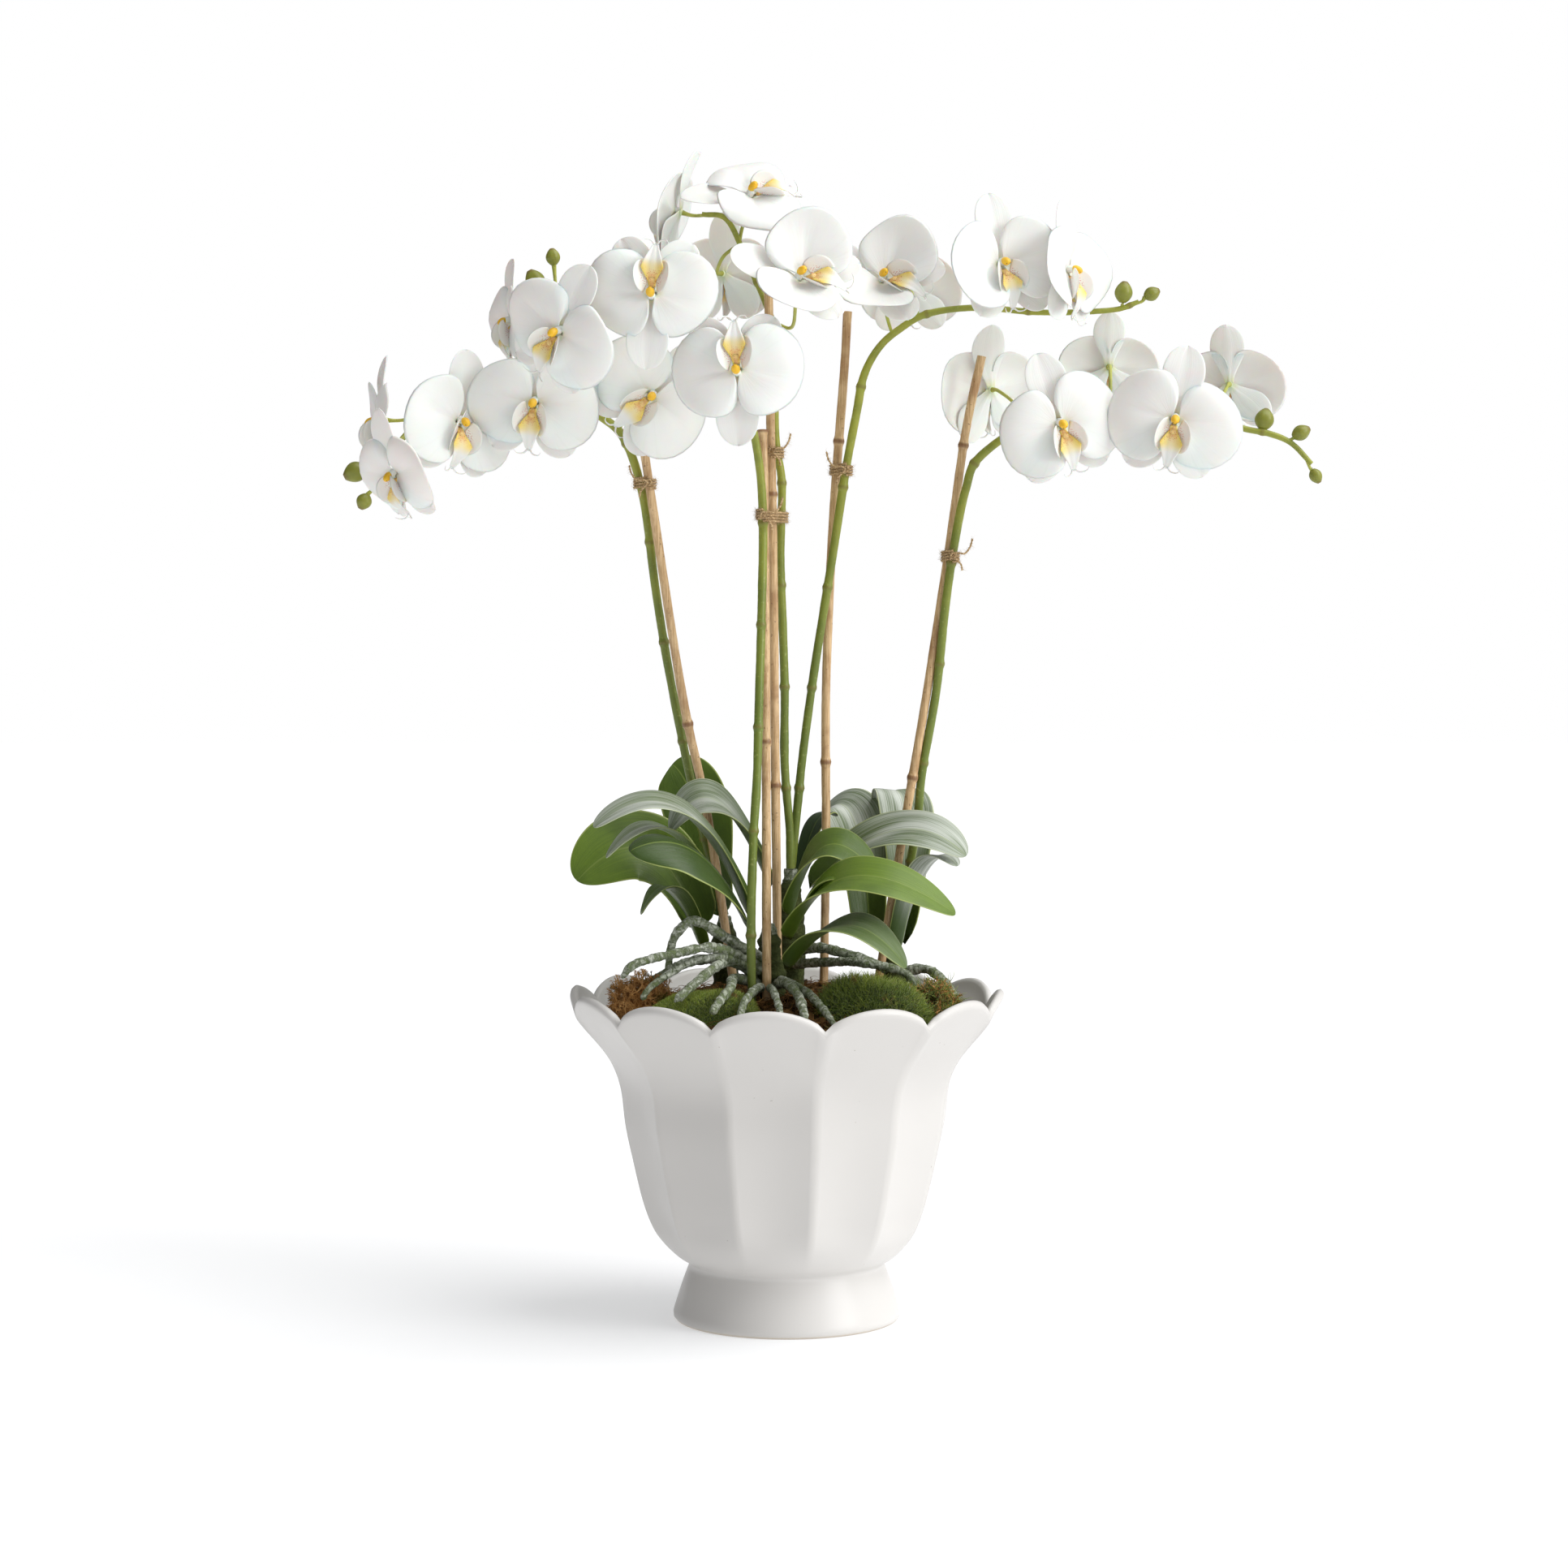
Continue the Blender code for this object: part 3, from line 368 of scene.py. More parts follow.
def start_scatter():
    """A tree that strews copies of one small piece over the faces marked as ground."""
    tree, given, made = start_tree("Strewn Pieces", [
        ("Piece", "Object", None), ("Density", "Float", 1000.0), ("Lean", "Float", 0.4),
        ("Smallest", "Float", 0.6), ("Largest", "Float", 1.2), ("Seed", "Int", 1),
        ("Steepest", "Float", -0.2), ("Finish", "Material", None)])
    marked = put(tree, "GeometryNodeInputNamedAttribute", {"Name": "ground"}, data_type="FLOAT")
    facing = put(tree, "ShaderNodeSeparateXYZ", {0: put(tree, "GeometryNodeInputNormal").outputs[0]})
    chosen = times(tree, calc(tree, "GREATER_THAN", marked.outputs[0], 0.5),
                   calc(tree, "GREATER_THAN", facing.outputs["Z"], given["Steepest"]))
    spots = put(tree, "GeometryNodeDistributePointsOnFaces",
                {"Mesh": given["Geometry"], "Selection": chosen, "Density": given["Density"],
                 "Seed": given["Seed"]})
    back = times(tree, given["Lean"], -1.0)
    low = put(tree, "ShaderNodeCombineXYZ", {0: back, 1: back, 2: -math.pi}).outputs[0]
    high = put(tree, "ShaderNodeCombineXYZ", {0: given["Lean"], 1: given["Lean"], 2: math.pi}).outputs[0]
    lean = put(tree, "FunctionNodeRandomValue", {0: low, 1: high, "Seed": given["Seed"]},
               data_type="FLOAT_VECTOR").outputs[0]
    turn = put(tree, "FunctionNodeEulerToRotation", {0: lean}).outputs[0]
    turned = put(tree, "FunctionNodeRotateRotation",
                 {"Rotation": spots.outputs["Rotation"], "Rotate By": turn}, rotation_space="LOCAL")
    size = put(tree, "FunctionNodeRandomValue",
               {2: given["Smallest"], 3: given["Largest"], "Seed": plus(tree, given["Seed"], 7.0)},
               data_type="FLOAT").outputs[1]
    piece = put(tree, "GeometryNodeObjectInfo", {"Object": given["Piece"]}).outputs["Geometry"]
    strewn = put(tree, "GeometryNodeInstanceOnPoints",
                 {"Points": spots.outputs["Points"], "Instance": piece,
                  "Rotation": turned.outputs[0], "Scale": size})
    shade = put(tree, "FunctionNodeRandomValue",
                {2: 0.0, 3: 1.0, "Seed": plus(tree, given["Seed"], 3.0)}, data_type="FLOAT")
    marked = put(tree, "GeometryNodeStoreNamedAttribute",
                 {"Geometry": strewn.outputs[0], "Name": "shade", "Value": shade.outputs[1]},
                 domain="INSTANCE")
    plain = put(tree, "GeometryNodeRealizeInstances", {"Geometry": marked.outputs[0]})
    coated = put(tree, "GeometryNodeSetMaterial",
                 {"Geometry": plain.outputs[0], "Material": given["Finish"]})
    both = put(tree, "GeometryNodeJoinGeometry")
    tree.links.new(coated.outputs[0], both.inputs[0])
    tree.links.new(given["Geometry"], both.inputs[0])
    tree.links.new(both.outputs[0], made.inputs[0])
    return tree


scatter_tree = start_scatter()


def strew(name, base, piece, finish, density, lean, sizes, seed, steepest=-0.2):
    """Scatter a small mesh over a base mesh's ground faces."""
    small = bpy.data.objects.new(name + "_piece", piece)
    bpy.context.scene.collection.objects.link(small)
    mesh = grow(name, base, scatter_tree, {
        "Piece": small, "Density": density, "Lean": lean, "Smallest": sizes[0],
        "Largest": sizes[1], "Seed": seed, "Steepest": steepest, "Finish": finish})
    bpy.data.objects.remove(small, do_unlink=True)
    return mesh


def rings_mesh(name, rings, ground_mark=1.0, finish=None):
    """A closed body through rings of points, with a ground mark for what grows on it."""
    count = len(rings[0])
    points = [tuple(p) for ring in rings for p in ring]
    faces = []
    for row in range(len(rings) - 1):
        for i in range(count):
            j = (i + 1) % count
            faces.append((row * count + i, row * count + j, (row + 1) * count + j, (row + 1) * count + i))
    faces.append(tuple(reversed(range(count))))
    faces.append(tuple(range((len(rings) - 1) * count, len(rings) * count)))
    mesh = bpy.data.meshes.new(name)
    mesh.from_pydata(points, [], faces)
    mesh.attributes.new("ground", "FLOAT", "POINT").data.foreach_set("value", [ground_mark] * len(points))
    if finish:
        mesh.materials.append(finish)
    mesh.shade_smooth()
    return mesh


bark, tree, shader = start_finish("bark and coir", 0.9, {"Specular IOR Level": 0.2})
spot = place_on(tree)
shade = mark_on(tree, "shade")
bark_tone = tint(tree, shade, paint(58, 42, 24), paint(150, 112, 66))
bark_tone = tint(tree, times(tree, mottle(tree, spot, 160.0, 6.0), 0.75), bark_tone, paint(62, 46, 26))
green_bit = fade(tree, mottle(tree, spot, 60.0, 3.0), 0.60, 0.70)
colour_in(tree, shader, tint(tree, times(tree, green_bit, 0.5), bark_tone, paint(84, 90, 38)))
relief(tree, shader, mottle(tree, spot, 700.0, 6.0, 0.7), 0.0006, 0.8)

coir, tree, shader = start_finish("coir fibre", 0.85, {"Specular IOR Level": 0.25})
spot = place_on(tree)
shade = mark_on(tree, "shade")
fibre_tone = tint(tree, shade, paint(124, 86, 44), paint(196, 152, 88))
colour_in(tree, shader, tint(tree, mottle(tree, spot, 260.0), fibre_tone, paint(82, 52, 26)))

rng = np.random.default_rng(11)


def chip_mesh(name, length, width, thick):
    """A broken flake: two ragged outlines with a little thickness."""
    sides = 6
    rings = []
    for level in (-0.5, 0.5):
        ring = []
        for i in range(sides):
            angle = math.tau * i / sides
            ragged = rng.uniform(0.72, 1.1)
            ring.append((length * math.cos(angle) * ragged, width * math.sin(angle) * ragged,
                         thick * level + rng.uniform(-0.2, 0.2) * thick))
        rings.append(ring)
    mesh = rings_mesh(name, rings, 0.0)
    mesh.shade_flat()
    return mesh


def ring_round(centre, along, radius, sides):
    """Points evenly round a line that passes through a centre."""
    aside = along.orthogonal().normalized()
    over = along.cross(aside)
    return [centre + aside * radius * math.cos(math.tau * k / sides)
            + over * radius * math.sin(math.tau * k / sides) for k in range(sides)]


def strand_mesh(name, points, radius):
    """A fibre that thins toward its end, with a tip mark that runs from 0 to 1."""
    sides = 3
    route = [Vector(p) for p in points]
    rings = []
    for i, point in enumerate(route):
        along = (route[min(i + 1, len(route) - 1)] - route[max(i - 1, 0)]).normalized()
        thin = radius * (1 - 0.85 * i / (len(route) - 1))
        rings.append(ring_round(point, along, thin, sides))
    mesh = rings_mesh(name, rings, 0.0)
    marks = [i / (len(rings) - 1) for i in range(len(rings)) for _ in range(sides)]
    mesh.attributes.new("tip", "FLOAT", "POINT").data.foreach_set("value", marks)
    return mesh


mat_rings = []
mat_marks = []
for radius, drop in ((0.1115, 0.075), (0.1190, 0.045), (0.1300, 0.018), (MAT_RADIUS, 0.004), (0.1340, 0.0),
                     (0.122, 0.0), (0.108, 0.0), (0.094, 0.0), (0.080, 0.0), (0.066, 0.0),
                     (0.052, 0.0), (0.038, 0.0), (0.024, 0.0), (0.010, 0.0)):
    ring = []
    for i in range(MAT_SIDES):
        angle = math.tau * i / MAT_SIDES
        x = radius * math.cos(angle)
        y = radius * math.sin(angle)
        bumps = 0.0016 * math.sin(90 * x + 3) * math.cos(110 * y) if not drop else 0.0
        ring.append((x, y, ground(x, y) - drop + bumps))
    mat_rings.append(ring)
    mat_marks += [1.0 if radius < STREWN_RADIUS and not drop else 0.0] * MAT_SIDES
medium = rings_mesh("growing_medium_bark", mat_rings, 0.0, bark)
medium.attributes["ground"].data.foreach_set("value", mat_marks)
medium = strew("growing_medium_bark", medium, chip_mesh("chip", 0.0075, 0.0046, 0.0024), bark,
               16000, 0.5, (0.5, 1.25), 3, 0.6)
medium = strew("growing_medium_bark", medium, chip_mesh("flake", 0.0045, 0.0030, 0.0016), bark,
               30000, 0.7, (0.5, 1.2), 4, 0.6)
curl = [(0, 0, 0), (0.003, 0.001, 0.0035), (0.007, -0.001, 0.0042), (0.011, 0.001, 0.0030),
        (0.014, 0.003, 0.0002)]
medium = strew("growing_medium_bark", medium, strand_mesh("fibre", curl, 0.00032), coir,
               46000, 0.5, (0.6, 1.3), 5, 0.6)
close_mesh(medium)
show("growing_medium_bark", medium, "bark", "growing_medium")

# ------------------------------------------------------------------ mosses
# Dried and dyed mosses laid over the medium: a low sheet of fine green moss at the left, a
# tall furry cushion at the right, a tuft of orange-brown reindeer moss behind the left one
# and a scrap of brown moss against the wall at the right.
green_moss, tree, shader = start_finish("green moss", 0.85, {"Specular IOR Level": 0.3,
                                                             "Sheen Weight": 0.25})
spot = place_on(tree)
tip = mark_on(tree, "tip")
shade = mark_on(tree, "shade")
dark_moss = tint(tree, mottle(tree, spot, 45.0, 3.0), paint(44, 58, 16), paint(78, 98, 28))
light_moss = tint(tree, shade, paint(116, 142, 40), paint(172, 182, 72))
moss_tone = tint(tree, calc(tree, "POWER", tip, 0.8), dark_moss, light_moss)
patch = fade(tree, mottle(tree, spot, 26.0, 3.0, 0.6), 0.42, 0.66)
moss_tone = tint(tree, times(tree, patch, 0.5), moss_tone, paint(84, 108, 30))
brown_bit = fade(tree, mottle(tree, spot, 70.0, 2.0), 0.63, 0.70)
colour_in(tree, shader, tint(tree, times(tree, brown_bit, 0.75), moss_tone, paint(132, 92, 48)))

lichen, tree, shader = start_finish("reindeer moss", 0.9, {"Specular IOR Level": 0.2})
spot = place_on(tree)
shade = mark_on(tree, "shade")
lichen_tone = tint(tree, shade, paint(172, 122, 66), paint(226, 178, 116))
lichen_green = fade(tree, mottle(tree, spot, 38.0, 2.0), 0.52, 0.62)
lichen_tone = tint(tree, times(tree, lichen_green, 0.85), lichen_tone, paint(86, 100, 34))
colour_in(tree, shader, tint(tree, times(tree, mottle(tree, spot, 300.0), 0.5), lichen_tone,
                             paint(118, 82, 46)))


def mound_mesh(name, x, y, width, depth, height, lumps, finish, segments=40):
    """A cushion on the medium, with gentle lumps."""
    rings = []
    levels = [(0.35, -0.03), (0.98, -0.03), (1.0, 0.08), (0.99, 0.25), (0.95, 0.42), (0.88, 0.58),
              (0.78, 0.74), (0.66, 0.86), (0.52, 0.94), (0.36, 0.985), (0.20, 1.0), (0.08, 1.0)]
    for share, rise in levels:
        ring = []
        for i in range(segments):
            angle = math.tau * i / segments
            wobble = 1 + 0.06 * math.sin(3 * angle + 350 * x) + 0.03 * math.sin(7 * angle)
            px = x + width * math.cos(angle) * share * wobble
            py = y + depth * math.sin(angle) * share * wobble
            lump = lumps * math.sin(150 * px + 1) * math.sin(170 * py + 2) * max(0.0, rise)
            ring.append((px, py, ground(px, py) + height * rise + lump))
        rings.append(ring)
    return rings_mesh(name, rings, 1.0, finish)


blade = [(0, 0, -0.0005), (0.0002, 0, 0.0026), (0.0012, 0, 0.0052)]
cushion = mound_mesh("moss_left_sheet", -0.064, -0.086, 0.041, 0.026, 0.0165, 0.0012, green_moss)
cushion = strew("moss_left_sheet", cushion, strand_mesh("short blade", blade, 0.00030), green_moss,
                2300000, 0.55, (0.44, 0.82), 21)
show("moss_left_sheet", cushion, "green_moss", "moss_left")

long_blade = [(0, 0, -0.001), (0.0004, 0, 0.0035), (0.0018, 0, 0.0070), (0.0042, 0, 0.0098)]
cushion = mound_mesh("moss_right_cushion", 0.062, -0.080, 0.037, 0.028, 0.0225, 0.002, green_moss)
cushion = strew("moss_right_cushion", cushion, strand_mesh("long blade", long_blade, 0.00034),
                green_moss, 950000, 0.65, (0.52, 1.0), 22)
cushion = strew("moss_right_cushion", cushion, strand_mesh("dry thread", curl, 0.00030), coir,
                9000, 0.9, (0.35, 0.75), 23)
show("moss_right_cushion", cushion, "green_moss", "moss_right")


def sprig_mesh(name, height, forks):
    """A twiggy sprig: each branch forks in three, two or three times over."""
    bm = bmesh.new()

    def branch(start, along, length, radius, level):
        end = start + along * length
        lower = [bm.verts.new(point) for point in ring_round(start, along, radius, 3)]
        upper = [bm.verts.new(point) for point in ring_round(end, along, radius * 0.6, 3)]
        for k in range(3):
            bm.faces.new((lower[k], lower[(k + 1) % 3], upper[(k + 1) % 3], upper[k]))
        bm.faces.new(tuple(reversed(lower)))
        bm.faces.new(tuple(upper))
        if level:
            for _ in range(3):
                bend = Vector(rng.uniform(-0.9, 0.9, 3))
                branch(end, (along + bend).normalized(), length * 0.72, radius * 0.66, level - 1)

    branch(Vector((0, 0, -0.001)), Vector((0, 0, 1)), height * 0.42, height * 0.055, forks)
    mesh = bpy.data.meshes.new(name)
    bm.to_mesh(mesh)
    bm.free()
    return mesh


tuft = mound_mesh("reindeer_moss_tuft", -0.107, -0.038, 0.015, 0.024, 0.018, 0.002, lichen, 24)
tuft = strew("reindeer_moss_tuft", tuft, sprig_mesh("sprig", 0.015, 2), lichen, 60000, 0.7, (0.6, 1.2), 31)
tuft = strew("reindeer_moss_tuft", tuft, sprig_mesh("fine sprig", 0.011, 3), lichen, 22000, 0.9,
             (0.6, 1.3), 32)
show("reindeer_moss_tuft", tuft, "reindeer_moss", "reindeer_moss")

scrap = mound_mesh("brown_moss_scrap", 0.106, -0.048, 0.013, 0.020, 0.015, 0.002, bark, 24)
scrap = strew("brown_moss_scrap", scrap, sprig_mesh("brown sprig", 0.013, 2), bark, 62000, 0.8,
              (0.6, 1.25), 33)
scrap = strew("brown_moss_scrap", scrap, sprig_mesh("rust sprig", 0.013, 2), lichen, 34000, 0.8,
              (0.5, 1.15), 34)
scrap = strew("brown_moss_scrap", scrap, strand_mesh("green blade", long_blade, 0.0004), green_moss,
              200000, 0.9, (0.4, 0.9), 35)
show("brown_moss_scrap", scrap, "reindeer_moss")

# ------------------------------------------------------------------ crowns and aerial roots
# Four orchid crowns, each a short woody stub under its leaves. Thick roots with a dry
# grey-green skin, crackled white, arch out of them over the moss and into the bark.
ROOT_RADIUS = 0.0034
CROWN_RADIUS = 0.011
CROWNS = {
    "crown_front": ((-0.012, -0.030, 0.232), (-0.013, -0.032, 0.296), [
        [(-0.016, -0.036, 0.270), (-0.042, -0.050, 0.286), (-0.066, -0.054, 0.300),
         (-0.079, -0.056, 0.292), (-0.084, -0.056, 0.280), (-0.086, -0.058, 0.262)],
        [(-0.018, -0.036, 0.264), (-0.050, -0.064, 0.281), (-0.078, -0.078, 0.279),
         (-0.108, -0.088, 0.272), (-0.118, -0.086, 0.262)],
        [(-0.020, -0.034, 0.258), (-0.042, -0.052, 0.270), (-0.058, -0.084, 0.264),
         (-0.079, -0.108, 0.2475)],
        [(-0.020, -0.036, 0.252), (-0.038, -0.054, 0.258), (-0.040, -0.086, 0.255),
         (-0.047, -0.108, 0.248), (-0.053, -0.122, 0.2405)],
        [(-0.008, -0.038, 0.252), (0.000, -0.070, 0.256), (0.008, -0.094, 0.250),
         (0.012, -0.116, 0.240), (0.013, -0.124, 0.234)],
        [(-0.020, -0.040, 0.262), (-0.046, -0.060, 0.274), (-0.072, -0.070, 0.270),
         (-0.096, -0.080, 0.256), (-0.104, -0.084, 0.246)],
        [(-0.016, -0.040, 0.250), (-0.022, -0.070, 0.252), (-0.030, -0.100, 0.246),
         (-0.034, -0.124, 0.234)],
        [(-0.014, -0.040, 0.250), (-0.010, -0.078, 0.252), (-0.006, -0.104, 0.244),
         (-0.003, -0.122, 0.232)],
        [(-0.006, -0.036, 0.256), (0.012, -0.078, 0.252), (0.024, -0.108, 0.244),
         (0.034, -0.128, 0.232)],
    ]),
    "crown_middle": ((0.003, 0.022, 0.232), (0.003, 0.0215, 0.3325), [
        [(0.006, 0.018, 0.270), (0.024, -0.006, 0.276), (0.046, -0.022, 0.272),
         (0.062, -0.032, 0.268), (0.074, -0.040, 0.262)],
        [(0.006, 0.014, 0.262), (0.030, -0.014, 0.266), (0.054, -0.036, 0.268),
         (0.084, -0.044, 0.262), (0.096, -0.050, 0.250)],
    ]),
    "crown_right": ((0.080, 0.044, 0.230), (0.081, 0.040, 0.2770), [
        [(0.084, 0.044, 0.252), (0.104, 0.036, 0.256), (0.118, 0.024, 0.248),
         (0.124, 0.012, 0.238), (0.126, 0.004, 0.230)],
    ]),
    "crown_left": ((-0.046, 0.052, 0.232), (-0.0468, 0.046, 0.2950), [
        [(-0.048, 0.044, 0.262), (-0.072, 0.036, 0.262), (-0.096, 0.030, 0.250),
         (-0.112, 0.026, 0.238), (-0.118, 0.024, 0.228)],
    ]),
}


def start_sweep():
    """A tree that grows a tube along each route: joints, lumps, a rough skin, or laid strands."""
    tree, given, made = start_tree("Swept Tube", [
        ("Sides", "Int", 12), ("Step", "Float", 0.002), ("Joint Spacing", "Float", 10.0),
        ("Joint Offset", "Float", 5.0), ("Joint Length", "Float", 0.002),
        ("Joint Swell", "Float", 0.0), ("Lump Scale", "Float", 60.0), ("Lumps", "Float", 0.0),
        ("Skin Scale", "Float", 500.0), ("Skin", "Float", 0.0), ("Twist", "Float", 0.0),
        ("Strands", "Float", 3.0), ("Groove", "Float", 0.0), ("Finish", "Material", None)])
    line = put(tree, "GeometryNodeMeshToCurve", {"Mesh": given["Geometry"]}).outputs[0]
    line = put(tree, "GeometryNodeResampleCurve", {"Curve": line, "Length": given["Step"]},
               mode="LENGTH").outputs[0]
    length = put(tree, "GeometryNodeSplineParameter").outputs["Length"]
    turns = calc(tree, "DIVIDE", less(tree, length, given["Joint Offset"]), given["Joint Spacing"])
    off_joint = calc(tree, "ABSOLUTE", less(tree, turns, calc(tree, "ROUND", turns)))
    away = times(tree, off_joint, given["Joint Spacing"])
    joint = fade(tree, away, 0.0, given["Joint Length"], 1.0, 0.0)
    thick = put(tree, "GeometryNodeInputNamedAttribute", {"Name": "thick"}, data_type="FLOAT").outputs[0]
    where = put(tree, "GeometryNodeInputPosition").outputs[0]
    lump = put(tree, "ShaderNodeTexNoise", {"Vector": where, "Scale": given["Lump Scale"], "Detail": 2.0})
    swell = times(tree, less(tree, lump.outputs["Fac"], 0.5), times(tree, given["Lumps"], 2.0))
    swell = plus(tree, swell, times(tree, joint, given["Joint Swell"]))
    radius = times(tree, thick, plus(tree, swell, 1.0))
    for label, value in (("along", length), ("joint", joint), ("girth", radius)):
        line = put(tree, "GeometryNodeStoreNamedAttribute",
                   {"Geometry": line, "Name": label, "Value": value}).outputs[0]
    line = put(tree, "GeometryNodeSetCurveTilt",
               {"Curve": line, "Tilt": times(tree, length, given["Twist"])}).outputs[0]
    rim = put(tree, "GeometryNodeCurvePrimitiveCircle", {"Resolution": given["Sides"], "Radius": 1.0})
    flat = put(tree, "ShaderNodeSeparateXYZ", {0: put(tree, "GeometryNodeInputPosition").outputs[0]})
    angle = calc(tree, "ARCTAN2", flat.outputs["Y"], flat.outputs["X"])
    wave = calc(tree, "COSINE", times(tree, angle, given["Strands"]))
    valley = times(tree, less(tree, 1.0, wave), 0.5)
    shrink = less(tree, 1.0, times(tree, given["Groove"], valley))
    stretched = put(tree, "ShaderNodeVectorMath",
                    {0: put(tree, "GeometryNodeInputPosition").outputs[0], "Scale": shrink},
                    operation="SCALE").outputs[0]
    rim = put(tree, "GeometryNodeSetPosition", {"Geometry": rim.outputs["Curve"], "Position": stretched})
    girth = put(tree, "GeometryNodeInputNamedAttribute", {"Name": "girth"}, data_type="FLOAT").outputs[0]
    tube = put(tree, "GeometryNodeCurveToMesh",
               {"Curve": line, "Profile Curve": rim.outputs[0], "Scale": girth, "Fill Caps": True})
    skin = put(tree, "ShaderNodeTexNoise",
               {"Vector": put(tree, "GeometryNodeInputPosition").outputs[0],
                "Scale": given["Skin Scale"], "Detail": 3.0})
    rough = times(tree, less(tree, skin.outputs["Fac"], 0.5), times(tree, given["Skin"], 2.0))
    push = put(tree, "ShaderNodeVectorMath",
               {0: put(tree, "GeometryNodeInputNormal").outputs[0], "Scale": rough}, operation="SCALE")
    moved = put(tree, "GeometryNodeSetPosition", {"Geometry": tube.outputs[0], "Offset": push.outputs[0]})
    smooth = put(tree, "GeometryNodeSetShadeSmooth", {"Geometry": moved.outputs[0]})
    plain = put(tree, "GeometryNodeRealizeInstances", {"Geometry": smooth.outputs[0]})
    coated = put(tree, "GeometryNodeSetMaterial", {"Geometry": plain.outputs[0], "Material": given["Finish"]})
    tree.links.new(coated.outputs[0], made.inputs[0])
    return tree


sweep_tree = start_sweep()


def sweep(name, routes, finish, values):
    """Grow tubes along routes, each a list of points and a radius at each point."""
    points = [tuple(p) for route, radii in routes for p in route]
    edges = []
    start = 0
    for route, radii in routes:
        edges += [(start + i, start + i + 1) for i in range(len(route) - 1)]
        start += len(route)
    base = bpy.data.meshes.new(name)
    base.from_pydata(points, edges, [])
    thick = [radius for route, radii in routes for radius in radii]
    base.attributes.new("thick", "FLOAT", "POINT").data.foreach_set("value", thick)
    mesh = grow(name, base, sweep_tree, {**values, "Finish": finish})
    close_mesh(mesh)
    mesh.attributes.new("ground", "FLOAT", "POINT").data.foreach_set("value", [1.0] * len(mesh.vertices))
    return mesh


root_skin, tree, shader = start_finish("root skin", 0.75, {"Specular IOR Level": 0.3})
spot = place_on(tree)
long_way = mark_on(tree, "along")
flaky = fade(tree, mottle(tree, spot, 230.0, 6.0, 0.7, 0.6), 0.40, 0.58)
skin_tone = tint(tree, flaky, paint(118, 130, 96), paint(206, 211, 196))
ring = put(tree, "ShaderNodeTexNoise", {"W": times(tree, long_way, 420.0), "Detail": 2.0,
                                        "Scale": 1.0}, noise_dimensions="1D").outputs["Fac"]
skin_tone = tint(tree, fade(tree, ring, 0.52, 0.68, 0.0, 0.5), skin_tone, paint(84, 96, 60))
patchy = fade(tree, mottle(tree, spot, 40.0, 3.0), 0.40, 0.65)
skin_tone = tint(tree, times(tree, patchy, 0.5), skin_tone, paint(104, 118, 72))
girth = mark_on(tree, "girth")
crown_tone = tint(tree, mottle(tree, spot, 90.0, 4.0), paint(46, 58, 26), paint(92, 100, 50))
colour_in(tree, shader, tint(tree, fade(tree, girth, 0.0052, 0.0064), skin_tone, crown_tone))
rings_and_flakes = plus(tree, flaky, times(tree, ring, 0.6))
relief(tree, shader, plus(tree, mottle(tree, spot, 520.0, 5.0, 0.7), rings_and_flakes), 0.0010, 0.9)

for crown, (foot, top, roots) in CROWNS.items():
    foot = Vector(foot)
    top = Vector(top)
    stub = [foot.lerp(top, share) for share in (0.0, 0.35, 0.7, 1.0)]
    routes = [(smooth_path(stub, 4), list(np.interp(np.linspace(0, 3, 13), range(4), [
        CROWN_RADIUS * share for share in (0.8, 1.0, 0.85, 0.40)])))]
    for number, route in enumerate(roots):
        path = smooth_path(route, 8)
        size = ROOT_RADIUS * (1.0, 0.95, 1.05, 1.0, 0.95, 0.8, 0.85, 0.75, 0.85)[number]
        last = len(path) - 1
        routes.append((path, [size * (1.12 - 0.35 * (i / last) ** 2) * (0.45 if i == last else 1.0)
                              for i in range(last + 1)]))
    mesh = sweep(crown + "_roots", routes, root_skin, {
        "Sides": 14, "Step": 0.0014, "Lump Scale": 130.0, "Lumps": 0.42, "Skin Scale": 420.0,
        "Skin": 0.0009, "Joint Spacing": 0.021, "Joint Offset": 0.009, "Joint Length": 0.004,
        "Joint Swell": 0.06})
    show(crown + "_roots", mesh, "root", crown)

# ------------------------------------------------------------------ bamboo stakes
# Split-and-rounded bamboo canes, tan with brown mottling, pushed into the bark beside each
# spike. Each has a swollen knuckle or two with a dark scar, and a sawn top.
STAKE_RADIUS = 0.0033
STAKES = {
    "a": ([(-0.0264, 0.038, 0.155), (-0.0584, 0.028, 0.3665), (-0.0786, 0.022, 0.4665),
           (-0.1081, 0.010, 0.6608)], 0.206, 0.290),
    "b": ([(-0.0137, -0.056, 0.168), (-0.0145, -0.053, 0.2451), (-0.0151, -0.034, 0.435),
           (-0.0164, -0.013, 0.5911), (-0.0176, -0.006, 0.6574)], 0.230, 0.262),
    "c": ([(-0.0055, -0.008, 0.161), (-0.0075, -0.004, 0.3286), (-0.0087, 0.000, 0.4365),
           (-0.0099, 0.002, 0.5563), (-0.0117, 0.004, 0.6521), (-0.0134, 0.005, 0.7605)],
          0.215, 0.235),
    "d": ([(0.0263, 0.030, 0.156), (0.0294, 0.033, 0.3424), (0.0295, 0.034, 0.4663),
           (0.0348, 0.034, 0.5929), (0.0427, 0.034, 0.7007), (0.0454, 0.034, 0.7481)],
          0.240, 0.256),
    "e": ([(0.0535, 0.024, 0.157), (0.0873, 0.023, 0.3607), (0.1049, 0.021, 0.4665),
           (0.1208, 0.021, 0.5708), (0.1327, 0.020, 0.6567), (0.1447, 0.020, 0.7137)],
          0.250, 0.247),
}
